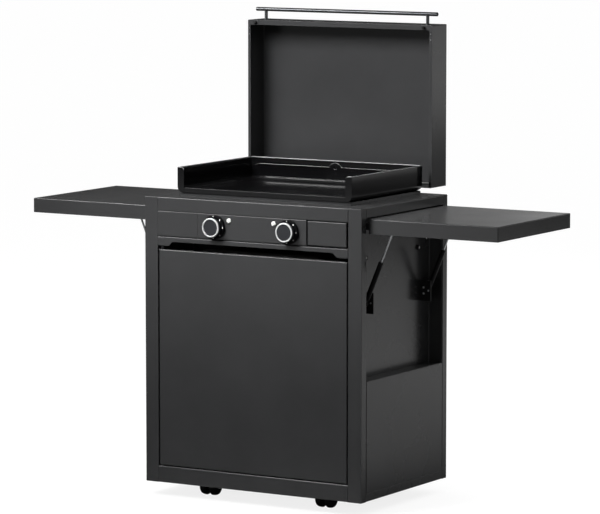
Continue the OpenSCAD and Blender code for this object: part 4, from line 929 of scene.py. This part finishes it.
@dataclass
class TableHardware:
    """Hinge bolts of the side tables, the rubber stops on the niche walls and their screws."""

    shop: Workshop
    fold_x: float = 350.25
    fold_z: float = 803.65
    arm_y: tuple[float, float] = (32.7, 478.3)
    arm_t: float = 3.0
    bolt_r: float = 4.0
    head_r: float = 7.5
    head_t: float = 5.0
    spacer: float = 2.1
    wall_x: float = 325.5
    stop_y: tuple[float, float] = (99.0, 412.0)
    stop_z: float = 703.65
    stop_len: float = 6.45
    screw_y: tuple[float, float] = (46.0, 465.0)
    screw_z: float = 726.0

    def bolts(self) -> None:
        """Hexagon bolts: the head inside the arm, shoulder, spacer, shank and the nut inside the post."""
        shoulder = self.head_t + self.arm_t + 0.6
        grip = shoulder + self.spacer + 0.3 + 3.0
        shank = softened([(0.0, 2.0), (self.bolt_r, 2.0), (self.bolt_r, shoulder), (6.5, shoulder),
                          (6.5, shoulder + self.spacer), (self.bolt_r, shoulder + self.spacer),
                          (self.bolt_r, grip + 3.0), (0.0, grip + 3.0)], 0.3)
        base, face = self.head_t - 1.0, self.head_t
        washer = softened([(0.0, base), (7.4, base), (7.4, face), (0.0, face)], 0.3)
        hexagon = arc((0.0, 0.0), self.head_r, 0.0, 300.0, 5)
        parts = []
        for x in (-self.fold_x, self.fold_x):
            for y, out in ((self.arm_y[0], -1.0), (self.arm_y[1], 1.0)):
                start = (x, y - out * (self.arm_t + 0.3 + self.head_t), self.fold_z)
                way = (0.0, out, 0.0)
                parts += [turned(shank, start, way, 32), turned(washer, start, way, 32)]
                parts.append(plate(hexagon, -out * (self.head_t - 1.0), start, (1.0, 0.0, 0.0), (0.0, 0.0, 1.0)))
                nut = (x, start[1] + out * grip, self.fold_z)
                parts.append(plate(hexagon * 0.93, -out * 5.0, nut, (1.0, 0.0, 0.0), (0.0, 0.0, 1.0)))
        self.shop.piece("hinge_bolts", parts, "cart", "zinc_steel", stands_for=["table_pivot_bolts"], bevel=0.5)

    def stops(self) -> None:
        """Rubber stops, each with a sunk screw, and a small screw at each end of the niche wall."""
        seat = self.stop_len - 2.2
        cone = softened([(0.0, 0.0), (8.0, 0.0), (8.0, 2.0), (6.8, self.stop_len), (4.9, self.stop_len), (4.7, seat),
                         (0.0, seat)], 0.4)
        pan = [(0.0, 1.4), (1.2, 1.3), (2.2, 0.95), (2.8, 0.3), (2.8, -0.4), (0.0, -0.4)]
        wide = [(0.0, 1.6), (2.0, 1.5), (3.4, 1.1), (4.3, 0.4), (4.3, -0.4), (0.0, -0.4)]
        rubber, screws = [], []
        for sign in (-1.0, 1.0):
            way = (sign, 0.0, 0.0)
            for y in self.stop_y:
                rubber.append(turned(cone, (sign * self.wall_x, y, self.stop_z), way, 40))
                screws.append(turned(wide, (sign * (self.wall_x + seat), y, self.stop_z), way, 24))
            screws += [turned(pan, (sign * self.wall_x, y, self.screw_z), way, 24) for y in self.screw_y]
        self.shop.piece("rubber_stops", rubber, "cart", "rubber", stands_for=["table_buffers"])
        self.shop.piece("stop_screws", screws, "cart", "zinc_steel", Coat.RING)

    def build(self) -> None:
        """Builds the bolts, the stops and the screws."""
        self.bolts()
        self.stops()


@dataclass
class FoldedEdges:
    """Hidden folds of the cart's sheets, which block the light through the joints and wear the dark inner paint as
    painted shade: the drawer's sill and the back panel's edges.
    """

    shop: Workshop
    sheet: float = 1.5
    bay: tuple[float, float] = (150.0, 326.2)
    rail_top: float = 738.4
    sill_depth: float = 30.0
    sill_drop: float = 12.0
    post_x: float = 174.5
    post_y: float = 11.5
    post_fold: tuple[float, float] = (15.0, 12.0)
    post_z: tuple[float, float] = (738.5, 812.0)
    back_y: float = 507.4
    fold: float = 15.0
    back_x: float = 326.85
    back_z: tuple[float, float] = (54.0, 800.0)

    def angle_bar(self, x: float, y: float, reach_x: float, reach_y: float, span: tuple[float, float]) -> Patch:
        """Upright angle one sheet thick, with its corner at (x, y) and a leg of each reach from there."""
        thick_x, thick_y = math.copysign(self.sheet, reach_x), math.copysign(self.sheet, reach_y)
        outline = np.array([(x, y), (x + reach_x, y), (x + reach_x, y + thick_y), (x + thick_x, y + thick_y),
                            (x + thick_x, y + reach_y), (x, y + reach_y)])
        return plate(outline, span[1] - span[0], (0.0, 0.0, span[0]), Axis.ACROSS.value, Axis.BACK.value)

    def build(self) -> None:
        """Builds the drawer's sill and post as angles, and one angle inside each side of the back panel."""
        start, t = self.sheet + 0.05, self.sheet
        angle = np.array([(start, 0.0), (start, -self.sill_drop), (start + t, -self.sill_drop), (start + t, -t),
                          (self.sill_depth, -t), (self.sill_depth, 0.0)])
        sill = plate(angle, self.bay[1] - self.bay[0], (self.bay[0], 0.0, self.rail_top), Axis.BACK.value,
                     Axis.UP.value)
        post = self.angle_bar(self.post_x, self.post_y, *self.post_fold, self.post_z)
        # Painted shade: the folds take the dark inner paint in place of their slot's powder coat, so the joints read
        # dark.
        self.shop.piece("drawer_sill", [sill, post], "cart", "powder_coat", Coat.DARK, bevel=0.4)
        fold = self.angle_bar(self.back_x, self.back_y, -self.fold, -self.fold, self.back_z)
        self.shop.piece("back_panel_folds", [fold, fold.mirrored()], "cart", "powder_coat", Coat.DARK, bevel=0.4)


@dataclass
class Casters:
    """Wheels of the four casters: rubber tyres on dished plastic hubs, with their axles."""

    shop: Workshop
    axis_x: float = 201.0
    front_y: float = 92.0
    rear_y: float = 417.0
    axle_z: float = -16.0
    wheel_r: float = 25.0
    half_w: float = 29.0

    def wheels(self, corner: str, x: float, y: float) -> None:
        """One caster's pair of tyres and hubs.

        Args:
            corner: the caster's corner of the cart.
            x: middle of the pair.
            y: axle's place from front to back.
        """
        wide, outer = self.half_w, self.wheel_r
        tyre = softened([(16.4, 8.0), (23.2, 7.6), (outer, 9.2), (outer, 15.5), (24.3, 21.0), (22.0, 25.6),
                         (18.6, 28.2), (16.4, 28.4)], 1.2, closed=True)
        hub = softened([(3.1, 7.5), (16.6, 7.5), (16.6, 28.0), (15.4, wide), (13.8, wide), (12.6, 26.6), (8.2, 25.9),
                        (7.4, 27.6), (3.1, 27.8)], 0.7, closed=True)
        axle = softened([(0.0, -28.4), (2.2, -28.2), (3.0, -27.0), (3.0, 27.0), (2.2, 28.2), (0.0, 28.4)], 0.4)
        middle = (x, y, self.axle_z)
        ways = ((1.0, 0.0, 0.0), (-1.0, 0.0, 0.0))
        body = f"wheels_{corner}"
        self.shop.piece(f"tyres_{corner}", [turned(tyre, middle, way, 72, loop=True) for way in ways], body, "rubber",
                        stands_for=[f"caster_wheels_{corner}"])
        hubs = [turned(hub, middle, way, 72, loop=True) for way in ways]
        self.shop.piece(f"hubs_{corner}", hubs + [turned(axle, middle, ways[0], 28)], body, "black_plastic")

    def build(self) -> None:
        """Builds the wheels at all four corners."""
        for depth, y in (("front", self.front_y), ("rear", self.rear_y)):
            for side, x in (("left", -self.axis_x), ("right", self.axis_x)):
                self.wheels(f"{depth}_{side}", x, y)


@dataclass(frozen=True)
class Lamp:
    """One soft lamp: its place, target, size and power, and whether it gives only its shine or only its light."""

    name: str
    place: tuple[float, float, float]
    target: tuple[float, float, float]
    width: float
    height: float
    power: float
    only_shine: bool = False
    only_light: bool = False
    spread: float = 180.0

    def hang(self) -> None:
        """Hangs the lamp, turned to its target."""
        data = bpy.data.lights.new(self.name, "AREA")
        data.shape, data.size, data.size_y, data.energy = "RECTANGLE", self.width, self.height, self.power
        data.spread = math.radians(self.spread)
        made = bpy.data.objects.new(self.name, data)
        made.location = self.place
        made.rotation_mode = "QUATERNION"
        made.rotation_quaternion = (Vector(self.target) - Vector(self.place)).to_track_quat("-Z", "Y")
        made.visible_diffuse, made.visible_glossy = not self.only_shine, not self.only_light
        bpy.context.scene.collection.objects.link(made)


@dataclass(frozen=True)
class Card:
    """A flat card that only shiny faces see; its glow is the product of two ramps along its two axes.

    It spans `across` along X and `along` along its second axis, which is Z for an upright card and Y for one that lies.
    """

    name: str
    across: tuple[float, float]
    along: tuple[float, float]
    level: float
    across_ramp: tuple[tuple[float, float], ...]
    along_ramp: tuple[tuple[float, float], ...]
    lies: bool = False

    @staticmethod
    def ramp(graph: Graph, value: bpy.types.NodeSocket, stops: Sequence[tuple[float, float]]) -> bpy.types.NodeSocket:
        """Returns a smooth ramp of greys through the stops' places and strengths."""
        low, high = stops[0][0], stops[-1][0]
        share = graph.add("MapRange", {"Value": value, "From Min": low, "From Max": high}).outputs[0]
        made = graph.add("ValToRGB", {"Fac": share})
        made.color_ramp.interpolation = "EASE"
        points = made.color_ramp.elements
        while len(points) < len(stops):
            points.new(0.5)
        for point, (spot, strength) in zip(points, stops):
            point.position = (spot - low) / (high - low)
            point.color = (strength, strength, strength, 1.0)
        return made.outputs[0]

    def finish(self) -> bpy.types.Material:
        """Builds the card's glow from its two ramps and returns the material."""
        made = bpy.data.materials.new(self.name)
        made.use_nodes = True
        graph = Graph(made.node_tree)
        place = graph.add("SeparateXYZ", {0: graph.add("TexCoord").outputs["Object"]})
        across = self.ramp(graph, place.outputs[0], self.across_ramp)
        along = self.ramp(graph, place.outputs[1 if self.lies else 2], self.along_ramp)
        grey = graph.add("VectorMath", {0: across, 1: along}, operation="MULTIPLY").outputs[0]
        glow = graph.add("Emission", {"Color": grey, "Strength": 1.0})
        made.node_tree.links.new(glow.outputs[0], made.node_tree.nodes["Material Output"].inputs["Surface"])
        return made

    def stand(self) -> None:
        """Places the card, hidden from all but glossy rays."""
        (left, right), (low, high) = self.across, self.along
        flat = [(left, low), (right, low), (right, high), (left, high)]
        corners = [(x, v, self.level) if self.lies else (x, self.level, v) for x, v in flat]
        made = stage_sheet(self.name, corners, self.finish())
        made.visible_camera = made.visible_diffuse = made.visible_shadow = made.visible_transmission = False


def stage_sheet(name: str, corners: Sequence[Sequence[float]], finish: bpy.types.Material) -> bpy.types.Object:
    """Makes one flat four-cornered piece of the stage and returns it."""
    mesh = bpy.data.meshes.new(name)
    mesh.from_pydata([tuple(corner) for corner in corners], [], [(0, 1, 2, 3)])
    mesh.materials.append(finish)
    made = bpy.data.objects.new(name, mesh)
    bpy.context.scene.collection.objects.link(made)
    return made


@dataclass
class Studio:
    """White floor and surround, soft lamps, cards for the reflections, and the photograph's camera."""

    eye: tuple[float, float, float] = (5.7255, -9.4847, 2.0083)
    gaze: tuple[float, float, float] = (-0.5136, 0.8501, -0.1165)
    lens: float = 224.14
    sensor: float = 36.0
    floor_half: float = 30.0
    floor_white: float = 0.85
    floor_dark: float = 0.36
    floor_pale: float = 0.8
    glow: float = 1.16
    painted_shadow_reach: float = 0.45
    painted_shadow_level: float = 0.84
    surround: float = 0.046
    lamps: tuple[Lamp, ...] = (
        Lamp("overhead_lamp", (-0.4, -0.2, 4.2), (0.0, 0.0, 0.6), 2.6, 2.6, 32.0, only_light=True),
        Lamp("front_lamp", (-0.5, -1.5, 2.3), (0.0, 0.0, 0.88), 0.9, 0.9, 17.8, spread=76.0, only_light=True),
        Lamp("right_lamp", (4.6, -0.4, 3.0), (0.2, 0.0, 0.7), 2.2, 2.2, 6.0),
        Lamp("back_lamp", (1.2, 4.2, 2.6), (0.0, 0.0, 0.7), 2.4, 2.4, 130.0, only_light=True),
        Lamp("handle_strip", (-1.3, -1.5, 2.25), (0.0, 0.3, 1.43), 1.5, 0.4, 60.0, only_shine=True),
    )
    cards: tuple[Card, ...] = (
        Card("rear_card", (-9.0, 7.0), (0.0, 5.0), 1.85, ((-0.8, 0.08), (-0.45, 0.4), (0.1, 0.85), (1.2, 1.0)),
             ((0.0, 0.7), (0.35, 0.58), (0.68, 0.08), (0.85, 0.15), (1.05, 0.85), (1.35, 0.7), (1.7, 0.08))),
        Card("front_card", (-9.0, 5.0), (0.0, 5.0), -3.0, ((-3.0, 1.0), (-1.34, 1.0), (-1.24, 1.5), (5.0, 1.5)),
             ((0.0, 0.08), (0.25, 0.5), (0.42, 0.78), (0.54, 0.68), (0.68, 0.12), (0.88, 0.04), (1.0, 0.2),
              (1.7, 0.2), (3.6, 0.2))),
        Card("ceiling_card", (-9.0, 7.0), (-3.0, 1.85), 5.0, ((-9.0, 0.4), (7.0, 0.4)), ((-3.0, 1.0), (1.85, 1.0)),
             lies=True),
        Card("right_floor_card", (0.45, 7.0), (-0.4, 1.85), 0.004, ((0.45, 0.3), (1.0, 1.0)), ((-0.4, 0.2), (0.6, 0.5)),
             lies=True),
    )

    def camera(self) -> None:
        """Places the camera: perspective, no shift and no depth of field."""
        data = bpy.data.cameras.new("photo_view")
        data.lens, data.sensor_width, data.clip_end = self.lens, self.sensor, 100.0
        made = bpy.data.objects.new("photo_view", data)
        made.location = self.eye
        made.rotation_mode = "QUATERNION"
        made.rotation_quaternion = Vector(self.gaze).to_track_quat("-Z", "Y")
        bpy.context.scene.collection.objects.link(made)
        bpy.context.scene.camera = made

    def floor(self) -> None:
        """Lays a floor that the camera sees as white, with a faint real shadow and a soft contact shadow painted from
        ambient occlusion, and that sends little light back up.
        """
        finish = bpy.data.materials.new("studio_floor")
        finish.use_nodes = True
        graph = Graph(finish.node_tree)
        shader, put = finish.node_tree.nodes["Principled BSDF"], finish.node_tree.nodes["Material Output"]
        seen = graph.add("LightPath").outputs["Is Camera Ray"]
        level = graph.add("MapRange", {"Value": seen, "To Min": self.floor_dark, "To Max": self.floor_pale}).outputs[0]
        links = finish.node_tree.links
        links.new(graph.add("CombineColor", {0: level, 1: level, 2: level}).outputs[0], shader.inputs["Base Color"])
        shader.inputs["Roughness"].default_value = 0.9
        shader.inputs["Specular IOR Level"].default_value = 0.0
        # Painted shadow: the camera's white glow dims where ambient occlusion finds the cart close above the floor.
        painted_shadow_mask = graph.add("AmbientOcclusion", {"Distance": self.painted_shadow_reach}, samples=12).outputs["AO"]
        strength = graph.add("MapRange", {"Value": painted_shadow_mask, "To Min": self.glow * self.painted_shadow_level,
                                          "To Max": self.glow}).outputs[0]
        glow = graph.add("Emission", {"Color": (1.0, 1.0, 1.0, 1.0), "Strength": strength})
        share = graph.math("MULTIPLY", seen, self.floor_white)
        mixed = graph.add("MixShader", {0: share, 1: shader.outputs[0], 2: glow.outputs[0]})
        links.new(mixed.outputs[0], put.inputs["Surface"])
        half = self.floor_half
        flat = [(-half, -half), (half, -half), (half, half), (-half, half)]
        stage_sheet("studio_floor", [(x, y, 0.0) for x, y in flat], finish)

    def world(self) -> None:
        """White for camera, mirror and glass rays, and an even grey light for the rest."""
        world = bpy.data.worlds.new("surround")
        world.use_nodes = True
        bpy.context.scene.world = world
        graph = Graph(world.node_tree)
        path = graph.add("LightPath")
        seen = graph.math("MAXIMUM", path.outputs["Is Camera Ray"], path.outputs["Is Glossy Ray"])
        seen = graph.math("MAXIMUM", seen, path.outputs["Is Transmission Ray"])
        strength = graph.add("MapRange", {"Value": seen, "To Min": self.surround, "To Max": 1.0}).outputs[0]
        back = world.node_tree.nodes["Background"]
        back.inputs["Color"].default_value = (1.0, 1.0, 1.0, 1.0)
        world.node_tree.links.new(strength, back.inputs["Strength"])

    def build(self) -> None:
        """Sets up the whole stage and the view transform."""
        bpy.context.scene.view_settings.view_transform = "Standard"
        self.camera()
        self.floor()
        self.world()
        for lamp in self.lamps:
            lamp.hang()
        for card in self.cards:
            card.stand()
        log.info("studio: %d lamps and %d cards", len(self.lamps), len(self.cards))


def main() -> None:
    """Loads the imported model, dresses it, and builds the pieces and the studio."""
    logging.basicConfig(level=logging.INFO, format="%(name)s: %(message)s")
    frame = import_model()
    PackedParts(frame).dress()
    shop = Workshop()
    for group in (GasControls, Griddle, LidFittings, TableStruts, TableHardware, FoldedEdges, Casters):
        group(shop).build()
        log.info("built %s", group.__name__)
    Studio().build()


if __name__ == "__main__":
    main()
